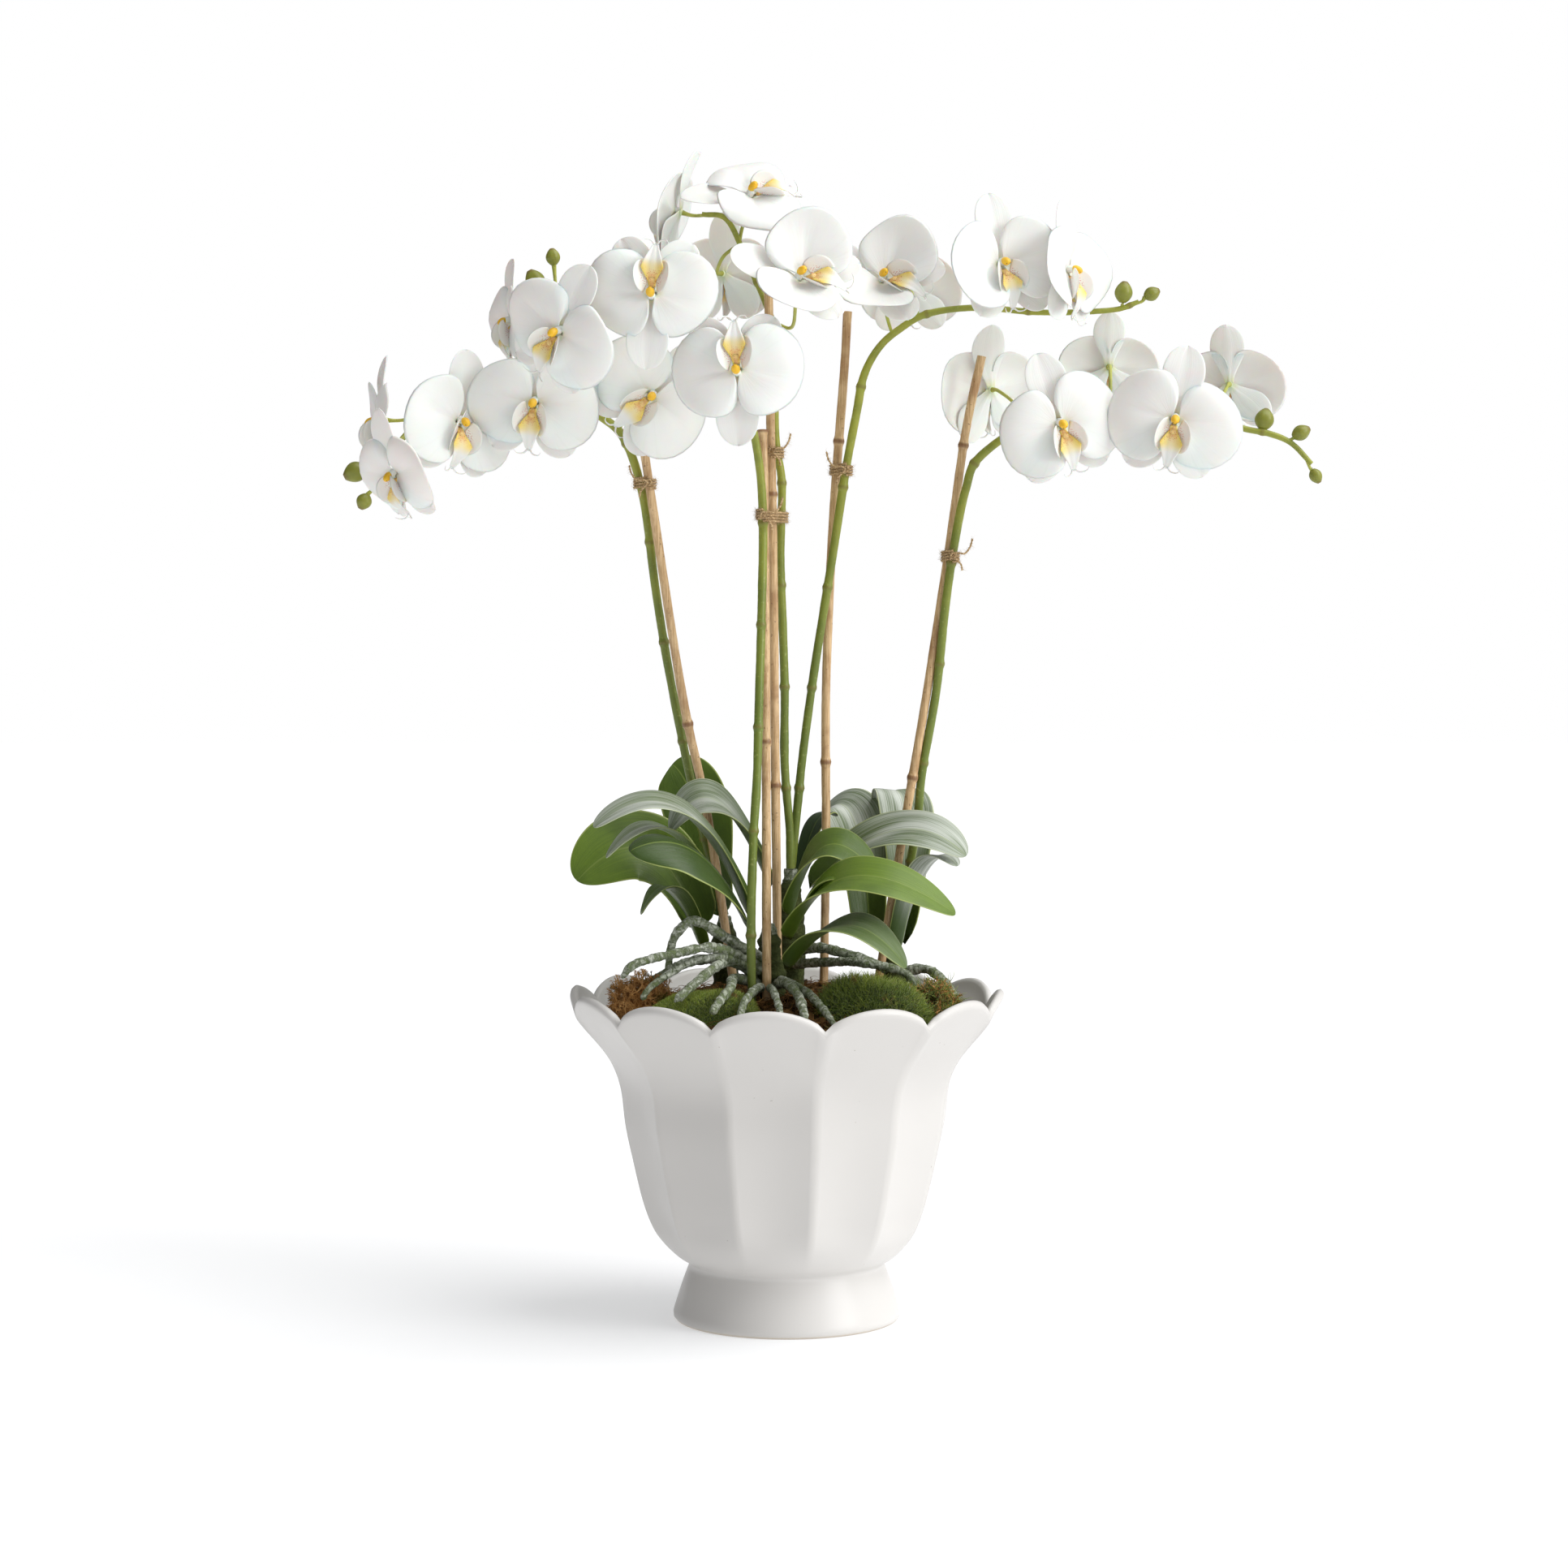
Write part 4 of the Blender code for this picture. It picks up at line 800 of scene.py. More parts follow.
bamboo, tree, shader = start_finish("bamboo cane", 0.42, {"Specular IOR Level": 0.45, "Coat Weight": 0.15,
                                                          "Coat Roughness": 0.3})
spot = place_on(tree)
long_way = stretch(tree, spot, (1.0, 1.0, 0.05))
streak = mottle(tree, long_way, 900.0, 4.0, 0.6)
cane_tone = tint(tree, fade(tree, streak, 0.36, 0.64), paint(222, 190, 144), paint(190, 154, 108))
stain = fade(tree, mottle(tree, spot, 34.0, 4.0, 0.6), 0.45, 0.70)
cane_tone = tint(tree, times(tree, stain, 0.55), cane_tone, paint(138, 92, 52))
scar = mark_on(tree, "joint")
cane_tone = tint(tree, fade(tree, scar, 0.35, 0.95, 0.0, 0.75), cane_tone, paint(112, 70, 38))
fleck = fade(tree, mottle(tree, spot, 420.0, 2.0), 0.66, 0.72)
colour_in(tree, shader, tint(tree, times(tree, fleck, 0.6), cane_tone, paint(98, 62, 34)))
relief(tree, shader, streak, 0.0003, 0.6)

for letter, (route, spacing, offset) in STAKES.items():
    path = smooth_path(route, 10)
    mesh = sweep(f"stake_{letter}_cane", [(path, [STAKE_RADIUS] * len(path))], bamboo, {
        "Sides": 18, "Step": 0.0014, "Joint Spacing": spacing, "Joint Offset": offset,
        "Joint Length": 0.0042, "Joint Swell": 0.30, "Lump Scale": 22.0, "Lumps": 0.10,
        "Skin Scale": 160.0, "Skin": 0.00018})
    show(f"stake_{letter}_cane", mesh, "bamboo", f"stake_{letter}")

# ------------------------------------------------------------------ flower spikes
# Five green spikes that rise from the crowns and arch over at the top. Each has ring scars
# where its sheaths were, thin yellow-green stalks that hold the flowers, and fat buds at its
# tip, all grown as one.
STEM_RADIUS = 0.0032
STALK_RADIUS = 0.0013
SPIKES = {
    "a": [(-0.0468, 0.042, 0.2960), (-0.0656, 0.038, 0.3683), (-0.0856, 0.032, 0.4664),
          (-0.0975, 0.027, 0.5388), (-0.1065, 0.021, 0.6086), (-0.1198, 0.017, 0.6511),
          (-0.1371, 0.014, 0.6683), (-0.1617, 0.011, 0.6812), (-0.1973, 0.010, 0.6910),
          (-0.2331, 0.010, 0.6878), (-0.2628, 0.008, 0.6727), (-0.2867, 0.006, 0.6488),
          (-0.2993, 0.004, 0.6339)],
    "b": [(-0.0249, -0.062, 0.2300), (-0.0258, -0.062, 0.2953), (-0.0240, -0.058, 0.3618),
          (-0.0216, -0.054, 0.4027), (-0.0199, -0.044, 0.4674), (-0.0186, -0.034, 0.5140),
          (-0.0174, -0.022, 0.5931), (-0.0219, -0.024, 0.6432), (-0.0322, -0.030, 0.6793),
          (-0.0526, -0.036, 0.7139), (-0.0819, -0.040, 0.7340), (-0.1229, -0.040, 0.7475),
          (-0.1581, -0.040, 0.7499), (-0.1769, -0.040, 0.7428)],
    "c": [(0.0027, 0.016, 0.3332), (0.0023, 0.016, 0.3611), (-0.0015, 0.015, 0.4110),
          (-0.0015, 0.015, 0.4666), (-0.0029, 0.014, 0.5116), (-0.0047, 0.013, 0.5653),
          (-0.0036, 0.013, 0.6190), (-0.0082, 0.014, 0.6537), (-0.0094, 0.014, 0.7257),
          (-0.0129, 0.014, 0.7454), (-0.0297, 0.013, 0.7843), (-0.0443, 0.012, 0.8135),
          (-0.0626, 0.012, 0.8173)],
    "d": [(0.0036, 0.027, 0.3332), (0.0087, 0.026, 0.3855), (0.0124, 0.025, 0.4207),
          (0.0212, 0.024, 0.4846), (0.0346, 0.023, 0.5683), (0.0440, 0.022, 0.6300),
          (0.0521, 0.022, 0.6730), (0.0574, 0.022, 0.6997), (0.0681, 0.020, 0.7196),
          (0.0827, 0.018, 0.7328), (0.1042, 0.016, 0.7446), (0.1413, 0.014, 0.7489),
          (0.1896, 0.012, 0.7452), (0.2405, 0.012, 0.7470), (0.2600, 0.012, 0.7530)],
    "e": [(0.0822, 0.036, 0.2780), (0.0969, 0.030, 0.3603), (0.1011, 0.026, 0.4031),
          (0.1116, 0.020, 0.4665), (0.1178, 0.014, 0.5278), (0.1242, 0.012, 0.5735),
          (0.1323, 0.011, 0.6136), (0.1442, 0.009, 0.6400), (0.1918, 0.006, 0.6688),
          (0.2575, 0.004, 0.6757), (0.3054, 0.004, 0.6710), (0.3356, 0.002, 0.6595),
          (0.3560, 0.000, 0.6550), (0.3720, 0.000, 0.6480), (0.3867, 0.000, 0.6330)],
}
# Buds at the tips: spike, centre, length, width.
BUDS = [
    ("b", (-0.1820, -0.040, 0.7629), 0.019, 0.015), ("b", (-0.1690, -0.040, 0.7799), 0.014, 0.011),
    ("a", (-0.3185, 0.002, 0.6270), 0.020, 0.016), ("a", (-0.3120, 0.002, 0.6053), 0.014, 0.012),
    ("d", (0.2490, 0.012, 0.7602), 0.018, 0.014), ("d", (0.2699, 0.012, 0.7590), 0.014, 0.011),
    ("e", (0.3524, 0.004, 0.6660), 0.019, 0.015), ("e", (0.3790, 0.000, 0.6560), 0.016, 0.012),
    ("e", (0.3900, 0.000, 0.6240), 0.013, 0.010),
]
# Each flower: spike, place of its centre, turn from the front toward +X in degrees, tilt up,
# roll clockwise, size, and how far its petals cup forward.
FLOWERS = [
    ("a", (-0.3020, 0.044, 0.6680), -75, 0, 0, 0.92, 0.004),
    ("a", (-0.2400, -0.022, 0.6640), 38, -6, 10, 0.97, 0.006),
    ("a", (-0.2810, -0.046, 0.6260), -52, -24, 0, 0.88, 0.004),
    ("a", (-0.1830, -0.028, 0.6775), -5, -8, 8, 0.98, 0.001),
    ("b", (-0.1600, -0.078, 0.7240), -30, -10, 35, 0.96, 0.002),
    ("b", (-0.2010, 0.012, 0.7400), -72, -4, 0, 0.84, 0.006),
    ("b", (-0.0955, -0.086, 0.7470), -5, 2, 185, 0.98, 0.001),
    ("a", (-0.0980, -0.020, 0.6830), 4, -10, 50, 0.98, 0.002),
    ("b", (-0.0350, -0.088, 0.6930), -5, 0, 177, 0.98, 0.001),
    ("c", (-0.0280, 0.004, 0.8270), 18, 52, -90, 0.96, 0.004),
    ("c", (-0.0800, 0.034, 0.8220), -100, 16, 0, 0.92, 0.004),
    ("c", (-0.0480, 0.050, 0.7780), 158, 0, 0, 0.86, 0.004),
    ("c", (0.0080, -0.050, 0.7620), 10, 34, -70, 0.98, 0.024),
    ("d", (0.0700, 0.000, 0.7660), 0, 36, -60, 0.98, 0.024),
    ("d", (0.0930, 0.062, 0.7700), 175, 5, 0, 0.80, 0.004),
    ("d", (0.1540, -0.030, 0.7760), 22, 10, -10, 0.96, 0.020),
    ("d", (0.2020, -0.018, 0.7730), 58, 4, 0, 0.95, 0.012),
    ("e", (0.1530, 0.044, 0.6910), -150, 10, 10, 0.92, 0.002),
    ("e", (0.1970, -0.036, 0.6610), 12, -4, -18, 0.98, 0.002),
    ("e", (0.2420, 0.048, 0.7080), 178, 6, 0, 0.78, 0.002),
    ("e", (0.2810, -0.042, 0.6640), -5, -4, 10, 0.99, 0.0),
    ("e", (0.3320, 0.046, 0.6950), 168, 6, 5, 0.84, 0.002),
]
STALK_DETOURS = {             # flower place: a point its stalk goes round a stake by
    (0.0080, -0.050, 0.7620): (0.0040, 0.0060, 0.7340),
    (-0.2810, -0.046, 0.6260): (-0.2910, -0.0200, 0.6400),
}

stem_green, tree, shader = start_finish("stem green", 0.42, {"Specular IOR Level": 0.45,
                                                             "Subsurface Weight": 0.12,
                                                             "Subsurface Scale": 0.002})
spot = place_on(tree)
height = put(tree, "ShaderNodeSeparateXYZ", {0: spot}).outputs["Z"]
stem_tone = tint(tree, fade(tree, height, 0.42, 0.74), paint(112, 126, 52), paint(164, 166, 66))
thin = mark_on(tree, "girth")
stem_tone = tint(tree, fade(tree, thin, 0.0012, 0.0022, 0.75, 0.0), stem_tone, paint(184, 186, 88))
stem_tone = tint(tree, fade(tree, mottle(tree, spot, 30.0, 4.0), 0.4, 0.7, 0.0, 0.5), stem_tone,
                 paint(84, 102, 42))
speck = fade(tree, mottle(tree, spot, 380.0, 3.0), 0.60, 0.72, 0.0, 0.45)
stem_tone = tint(tree, speck, stem_tone, paint(168, 176, 104))
scar = mark_on(tree, "joint")
stem_tone = tint(tree, fade(tree, scar, 0.3, 1.0, 0.0, 0.65), stem_tone, paint(122, 112, 58))
bud = mark_on(tree, "bud")
bud_tone = tint(tree, mottle(tree, spot, 90.0, 4.0), paint(112, 118, 40), paint(150, 152, 66))
bud_tip = fade(tree, bud, 0.80, 1.0, 0.0, 0.6)
bud_tone = tint(tree, bud_tip, bud_tone, paint(116, 84, 50))
colour_in(tree, shader, tint(tree, fade(tree, bud, 0.02, 0.06), stem_tone, bud_tone))
relief(tree, shader, mottle(tree, spot, 500.0, 4.0), 0.0003, 0.5)


def stem_joint(spike, target, reach):
    """A point inside the arched part of a stem, about a given reach from a target."""
    stem = [Vector(p) for p in SPIKES[spike]][5:]
    inside = [a.lerp(b, share) for a, b in zip(stem, stem[1:]) for share in (0.37, 0.71)]
    return min(inside, key=lambda point: abs((point - target).length - reach))


def flower_frame(place, turn, tilt, roll):
    """Axes of a flower: local +Z faces out of the bloom and local +Y is its top."""
    turn, tilt, roll = math.radians(turn), math.radians(tilt), math.radians(roll)
    out = Vector((math.sin(turn) * math.cos(tilt), -math.cos(turn) * math.cos(tilt), math.sin(tilt)))
    up = (Vector((0, 0, 1)) - out * out.z).normalized()
    side = up.cross(out)
    top = up * math.cos(roll) + side * math.sin(roll)
    right = top.cross(out)
    axes = Matrix((right, top, out)).transposed().to_4x4()
    axes.translation = Vector(place)
    return axes


def stalk_path(spike, place, turn, tilt, roll):
    """A flower stalk, from inside the stem to just behind its bloom."""
    axes = flower_frame(place, turn, tilt, roll)
    straight = axes @ Vector((0, 0, -0.022))
    start = stem_joint(spike, straight, 0.016)
    bend = start.lerp(straight, 0.55) + Vector((0, 0, 0.002))
    if place in STALK_DETOURS:
        bend = Vector(STALK_DETOURS[place])
    return [start, bend, axes @ Vector((0, 0, -0.011)), axes @ Vector((0, 0, -0.0012))]


def bud_mesh(name, centre, along, length, width, finish):
    """A closed bud: an egg with three soft seams and a blunt tip, marked from base to tip."""
    turn = Vector(along).to_track_quat("Z", "Y").to_matrix()
    rings = []
    for row in range(1, 16):
        share = row / 16
        wide = width / 2 * math.sin(math.pi * share) ** 0.72 * (1.06 - 0.22 * share)
        ring = []
        for i in range(24):
            angle = math.tau * i / 24
            seam = 1 - 0.07 * (0.5 + 0.5 * math.cos(3 * angle)) ** 6
            ring.append(Vector(centre) + turn @ Vector((
                wide * seam * math.cos(angle), wide * seam * math.sin(angle), length * (share - 0.5))))
        rings.append(ring)
    mesh = rings_mesh(name, rings, 0.0, finish)
    marks = [0.08 + 0.92 * row / 14 for row in range(15) for _ in range(24)]
    mesh.attributes.new("bud", "FLOAT", "POINT").data.foreach_set("value", marks)
    return mesh


def join_meshes(name, meshes):
    """One mesh from several that share a material, with all their marks kept."""
    parts = []
    for number, mesh in enumerate(meshes):
        part = bpy.data.objects.new(f"{name}_{number}", mesh)
        bpy.context.scene.collection.objects.link(part)
        parts.append(part)
    with bpy.context.temp_override(active_object=parts[0], selected_editable_objects=parts):
        bpy.ops.object.join()
    joined = parts[0].data
    bpy.data.objects.remove(parts[0], do_unlink=True)
    joined.name = name
    return joined


for letter, route in SPIKES.items():
    path = smooth_path(route, 8)
    last = len(path) - 1
    radii = [STEM_RADIUS * (1 - 0.42 * max(0.0, i / last - 0.45) / 0.55) for i in range(last + 1)]
    main = sweep("stem", [(path, radii)], stem_green, {
        "Sides": 16, "Step": 0.0015, "Joint Spacing": 0.0755, "Joint Offset": 0.060,
        "Joint Length": 0.0036, "Joint Swell": 0.26, "Lump Scale": 40.0, "Lumps": 0.12,
        "Skin Scale": 300.0, "Skin": 0.00014})
    routes = []
    buds = []
    for spike, centre, length, width in BUDS:
        if spike != letter:
            continue
        centre = Vector(centre)
        root = stem_joint(letter, centre, 0.011)
        along = (centre - root).normalized()
        reach = (centre - root).length
        droop = Vector((0, 0, -0.12 * reach))
        stalk = smooth_path([root, root.lerp(centre, 0.5) + droop, centre - along * length * 0.42], 8)
        routes.append((stalk, [STALK_RADIUS * (0.9 + 0.5 * (i / 16) ** 4) for i in range(17)]))
        buds.append(bud_mesh("bud", centre, along, length, width, stem_green))
    for spike, place, turn, tilt, roll, size, cup in FLOWERS:
        if spike != letter:
            continue
        stalk = smooth_path(stalk_path(spike, place, turn, tilt, roll), 8)
        routes.append((stalk, [STALK_RADIUS * (1.0 + 0.9 * (i / 24) ** 8) for i in range(25)]))
    stalks = sweep("stalks", routes, stem_green, {
        "Sides": 10, "Step": 0.0015, "Lump Scale": 150.0, "Lumps": 0.14, "Skin": 0.0001})
    show(f"flower_spike_{letter}_growth", join_meshes("growth", [main, stalks, *buds]), "stem",
         f"flower_spike_{letter}")

# ------------------------------------------------------------------ jute ties
# Two-ply jute wound four times round the stem and its stake, with a small overhand knot and
# two frayed ends. Loose hairs stand off the twine all over.
TWINE_RADIUS = 0.00095
TWINE_GAP = 0.0003
TWINE_PITCH = 0.00205
WRAPS = 4
WRAP_POINTS = 26
TIES = {
    "a": ((("spike", "a"), ("stake", "a")), 0.6194),
    "b": ((("spike", "b"), ("stake", "b"), ("stake", "c"), ("spike", "c")), 0.5942),
    "c": ((("spike", "c"), ("stake", "c")), 0.6422),
    "d": ((("spike", "d"), ("stake", "d")), 0.6299),
    "e": ((("spike", "e"), ("stake", "e")), 0.5653),
}
jute, tree, shader = start_finish("jute twine", 0.9, {"Specular IOR Level": 0.2, "Sheen Weight": 0.2})
spot = place_on(tree)
jute_tone = tint(tree, fade(tree, mottle(tree, spot, 700.0, 4.0), 0.35, 0.65), paint(164, 128, 84),
                 paint(226, 198, 152))
colour_in(tree, shader, tint(tree, fade(tree, mottle(tree, spot, 160.0), 0.5, 0.7, 0.0, 0.5), jute_tone,
                             paint(140, 106, 68)))
relief(tree, shader, mottle(tree, spot, 2200.0, 3.0), 0.0004, 0.8)


def point_at_height(path, height):
    """Where a rising path passes a height."""
    for low, high in zip(path, path[1:]):
        if low.z <= height <= high.z:
            return low.lerp(high, (height - low.z) / (high.z - low.z))
    return path[-1]


def hull(points):
    """Convex outline round flat points, counter-clockwise."""
    ordered = sorted(points)

    def half_of(run):
        chain = []
        for p in run:
            while len(chain) > 1 and ((chain[-1][0] - chain[-2][0]) * (p[1] - chain[-2][1])
                                      - (chain[-1][1] - chain[-2][1]) * (p[0] - chain[-2][0])) <= 0:
                chain.pop()
            chain.append(p)
        return chain[:-1]

    return half_of(ordered) + half_of(ordered[::-1])


def even_loop(outline, count):
    """Evenly spaced points on a closed flat outline, starting at its frontmost one."""
    start = min(range(len(outline)), key=lambda i: outline[i][1])
    loop = outline[start:] + outline[:start + 1]
    steps = [math.dist(a, b) for a, b in zip(loop, loop[1:])]
    marks = np.concatenate([[0.0], np.cumsum(steps)])
    spots = np.linspace(0, marks[-1], count + 1)[:-1]
    return list(zip(*(np.interp(spots, marks, [p[axis] for p in loop]) for axis in (0, 1))))


hair = strand_mesh("jute hair", [(0, 0, -0.0002), (0.0005, 0, 0.0012), (0.0018, 0, 0.0020)], 0.00006)
for letter, (held, height) in TIES.items():
    rng = np.random.default_rng(ord(letter))
    circle = []
    for kind, which in held:
        line = smooth_path(SPIKES[which] if kind == "spike" else STAKES[which][0], 8)
        centre = point_at_height(line, height)
        for i in range(16):
            angle = math.tau * i / 16
            reach = STAKE_RADIUS + TWINE_RADIUS + TWINE_GAP
            circle.append((centre.x + reach * math.cos(angle), centre.y + reach * math.sin(angle)))
    loop = even_loop(hull(circle), WRAP_POINTS)
    mid_x = sum(p[0] for p in loop) / WRAP_POINTS
    mid_y = sum(p[1] for p in loop) / WRAP_POINTS
    winding = []
    for i in range(WRAPS * WRAP_POINTS + 1):
        x, y = loop[i % WRAP_POINTS]
        swell = 1 + 0.05 * math.sin(i * 1.7)
        rise = (i / WRAP_POINTS - WRAPS / 2) * TWINE_PITCH + rng.uniform(-0.0002, 0.0002)
        winding.append(Vector((mid_x + (x - mid_x) * swell, mid_y + (y - mid_y) * swell, height + rise)))
    x, y = loop[0]
    front = Vector((x, y - 0.0016, height))
    knot = [front + Vector(p) for p in ((-0.0012, 0.0008, -0.003), (-0.0016, -0.0006, 0.0),
                                        (0.0002, -0.0014, 0.0024), (0.0018, -0.0006, 0.0004),
                                        (0.0004, 0.0002, -0.0018), (-0.0018, -0.0004, -0.0006))]
    aim = -1 if letter in "ad" else 1
    tails = [
        [front, front + Vector((0.004 * aim, -0.002, 0.0022)), front + Vector((0.009 * aim, -0.001, 0.0020)),
         front + Vector((0.013 * aim, 0.001, 0.0072)), front + Vector((0.0145 * aim, 0.001, 0.0130))],
        [front, front + Vector((0.003 * aim, -0.002, -0.003)), front + Vector((0.006 * aim, -0.001, -0.0062)),
         front + Vector((0.007 * aim, 0.0, -0.0105))],
    ]
    routes = [(winding, [TWINE_RADIUS] * len(winding))]
    for line in (knot, *tails):
        path = smooth_path(line, 6)
        routes.append((path, [TWINE_RADIUS * 0.85] * len(path)))
    mesh = sweep(f"tie_{letter}_twine", routes, jute, {
        "Sides": 12, "Step": 0.0007, "Twist": 1500.0, "Strands": 2.0, "Groove": 0.30,
        "Lump Scale": 500.0, "Lumps": 0.16, "Skin Scale": 1500.0, "Skin": 0.00012})
    mesh = strew(f"tie_{letter}_twine", mesh, hair, jute, 900000, 1.2, (0.5, 1.5), 41, -2.0)
    show(f"tie_{letter}_twine", mesh, "jute_twine", f"tie_{letter}")

# ------------------------------------------------------------------ leaves
# Thick strap leaves in ranks on each crown: dark glossy green above, paler beneath, with a
# keeled midrib, faint long veins and a thin pale edge. The upper ones carry a painted silvery
# sheen: near-white streaks in their colour that stand in for the reflection of the bright room.
# Each leaf: base, top of its arch, tip, half width, roll, fold, share of painted silvery sheen and
# painted lightness, that is how lit or shaded its green is painted.
LEAVES = {
    "leaf_left_broad": ((-0.066, 0.046, 0.284), (-0.106, 0.044, 0.345), (-0.157, 0.026, 0.323),
                        0.031, -58, 0.15, 0.0, 0.75),
    "leaf_left_long": ((-0.028, -0.026, 0.300), (-0.078, -0.040, 0.380), (-0.139, -0.060, 0.368),
                       0.021, -16, 0.10, 0.75, 0.4),
    "leaf_left_folded": ((-0.027, -0.040, 0.290), (-0.066, -0.066, 0.349), (-0.112, -0.086, 0.352),
                         0.024, -32, -0.5, 0.0, 0.15),
    "leaf_middle_left": ((-0.012, 0.030, 0.318), (-0.052, 0.004, 0.384), (-0.086, -0.002, 0.362),
                         0.021, -34, 0.10, 0.6, 0.3),
    "leaf_back_left": ((-0.049, 0.069, 0.292), (-0.068, 0.084, 0.372), (-0.088, 0.094, 0.408),
                       0.026, -62, 0.10, 0.0, 0.45),
    "leaf_left_narrow": ((-0.062, 0.036, 0.268), (-0.086, 0.010, 0.318), (-0.108, -0.002, 0.300),
                         0.012, 0, 0.10, 0.1, 0.4),
    "leaf_right_upper": ((0.003, -0.024, 0.300), (0.028, -0.040, 0.353), (0.066, -0.046, 0.331),
                         0.020, 30, 0.10, 0.0, 0.45),
    "leaf_right_middle": ((0.003, -0.036, 0.284), (0.046, -0.084, 0.334), (0.120, -0.096, 0.308),
                          0.021, 34, 0.10, 0.0, 0.75),
    "leaf_right_lower": ((0.002, -0.046, 0.264), (0.042, -0.096, 0.300), (0.084, -0.118, 0.272),
                         0.019, 16, 0.10, 0.1, 0.35),
    "leaf_right_silvery": ((0.017, 0.014, 0.318), (0.080, 0.000, 0.362), (0.132, -0.012, 0.344),
                           0.022, 34, 0.10, 0.65, 0.3),
    "leaf_right_low": ((0.084, 0.025, 0.268), (0.102, 0.014, 0.334), (0.126, -0.002, 0.336),
                       0.019, 0, 0.10, 0.7, 0.2),
    "leaf_back_right": ((0.064, 0.056, 0.272), (0.048, 0.088, 0.372), (0.016, 0.104, 0.344),
                        0.026, -20, 0.10, 0.75, 0.3),
    "leaf_back_upright": ((0.090, 0.062, 0.272), (0.090, 0.084, 0.376), (0.072, 0.112, 0.372),
                          0.022, 0, 0.10, 0.7, 0.3),
    "leaf_back_middle": ((0.010, 0.037, 0.318), (0.022, 0.048, 0.364), (0.038, 0.058, 0.370),
                         0.011, 0, 0.10, 0.0, 0.0),
}
leaf_green, tree, shader = start_finish("leaf green", 0.40, {"Specular IOR Level": 0.38, "Coat Weight": 0.06,
                                                            "Coat Roughness": 0.3})
spot = place_on(tree)
lie = put(tree, "ShaderNodeUVMap", uv_map="pattern").outputs[0]
lie_parts = put(tree, "ShaderNodeSeparateXYZ", {0: lie}).outputs
marks = put(tree, "ShaderNodeAttribute", attribute_name="tint")
mark = put(tree, "ShaderNodeSeparateColor", {0: marks.outputs["Color"]}).outputs
veins = stretch(tree, lie, (46.0, 2.2, 1.0))
vein = mottle(tree, veins, 1.0, 3.0, 0.6)
# Painted light and shade: the tint's green mark, set leaf by leaf and darker toward the base, paints each
# leaf's green lighter where it lies lit and darker where it lies in shade.
leaf_tone = tint(tree, mark["Green"], paint(32, 52, 20), paint(122, 150, 50))
leaf_tone = tint(tree, fade(tree, vein, 0.35, 0.65, 0.0, 0.30), leaf_tone, paint(64, 92, 30))
leaf_tone = tint(tree, fade(tree, mottle(tree, spot, 28.0, 4.0), 0.4, 0.7, 0.0, 0.35), leaf_tone,
                 paint(44, 66, 28))
from_middle = calc(tree, "ABSOLUTE", less(tree, lie_parts["X"], 0.5))
midrib = fade(tree, from_middle, 0.004, 0.022, 0.55, 0.0)
leaf_tone = tint(tree, midrib, leaf_tone, paint(138, 156, 78))
thin_edge = fade(tree, from_middle, 0.470, 0.492, 0.0, 0.8)
leaf_tone = tint(tree, thin_edge, leaf_tone, paint(170, 182, 104))
# Painted sheen: near-white streaks and broad bands, laid on where the tint's red mark asks, stand in for the
# reflection of the bright room on the glossy upper leaves.
streaks = stretch(tree, lie, (44.0, 1.3, 1.0))
streak = fade(tree, mottle(tree, streaks, 1.0, 5.0, 0.65), 0.36, 0.58)
broad = fade(tree, mottle(tree, stretch(tree, lie, (2.6, 1.1, 1.0)), 1.0, 1.0), 0.40, 0.60)
sheen_share = plus(tree, times(tree, streak, 0.45), times(tree, broad, 0.55))
leaf_tone = tint(tree, times(tree, mark["Red"], sheen_share), leaf_tone, paint(232, 236, 230))
colour_in(tree, shader, leaf_tone)
tree.links.new(fade(tree, vein, 0.3, 0.7, 0.28, 0.42), shader.inputs["Roughness"])
fine_grain = times(tree, mottle(tree, spot, 900.0, 2.0), 0.12)
relief(tree, shader, plus(tree, times(tree, vein, 0.6), fine_grain), 0.0009, 0.5)


def skin(middle, half_thick, pattern, marks, finish=0):
    """A closed skin round a middle surface: two layers that meet at its edges."""
    rows, columns = half_thick.shape
    facing = np.cross(np.gradient(middle, axis=1), np.gradient(middle, axis=0))
    facing /= np.maximum(np.linalg.norm(facing, axis=2, keepdims=True), 1e-12)
    layers = [(middle + facing * half_thick[..., None] * side).reshape(-1, 3) for side in (1, -1)]
    number = np.arange(rows * columns).reshape(rows, columns)
    quads = np.stack([number[:-1, :-1], number[:-1, 1:], number[1:, 1:], number[1:, :-1]], axis=-1)
    quads = quads.reshape(-1, 4)
    faces = np.concatenate([quads, quads[:, ::-1] + rows * columns])
    return (np.concatenate(layers), faces, np.tile(pattern.reshape(-1, 2), (2, 1)),
            np.tile(marks.reshape(-1, 3), (2, 1)), finish)


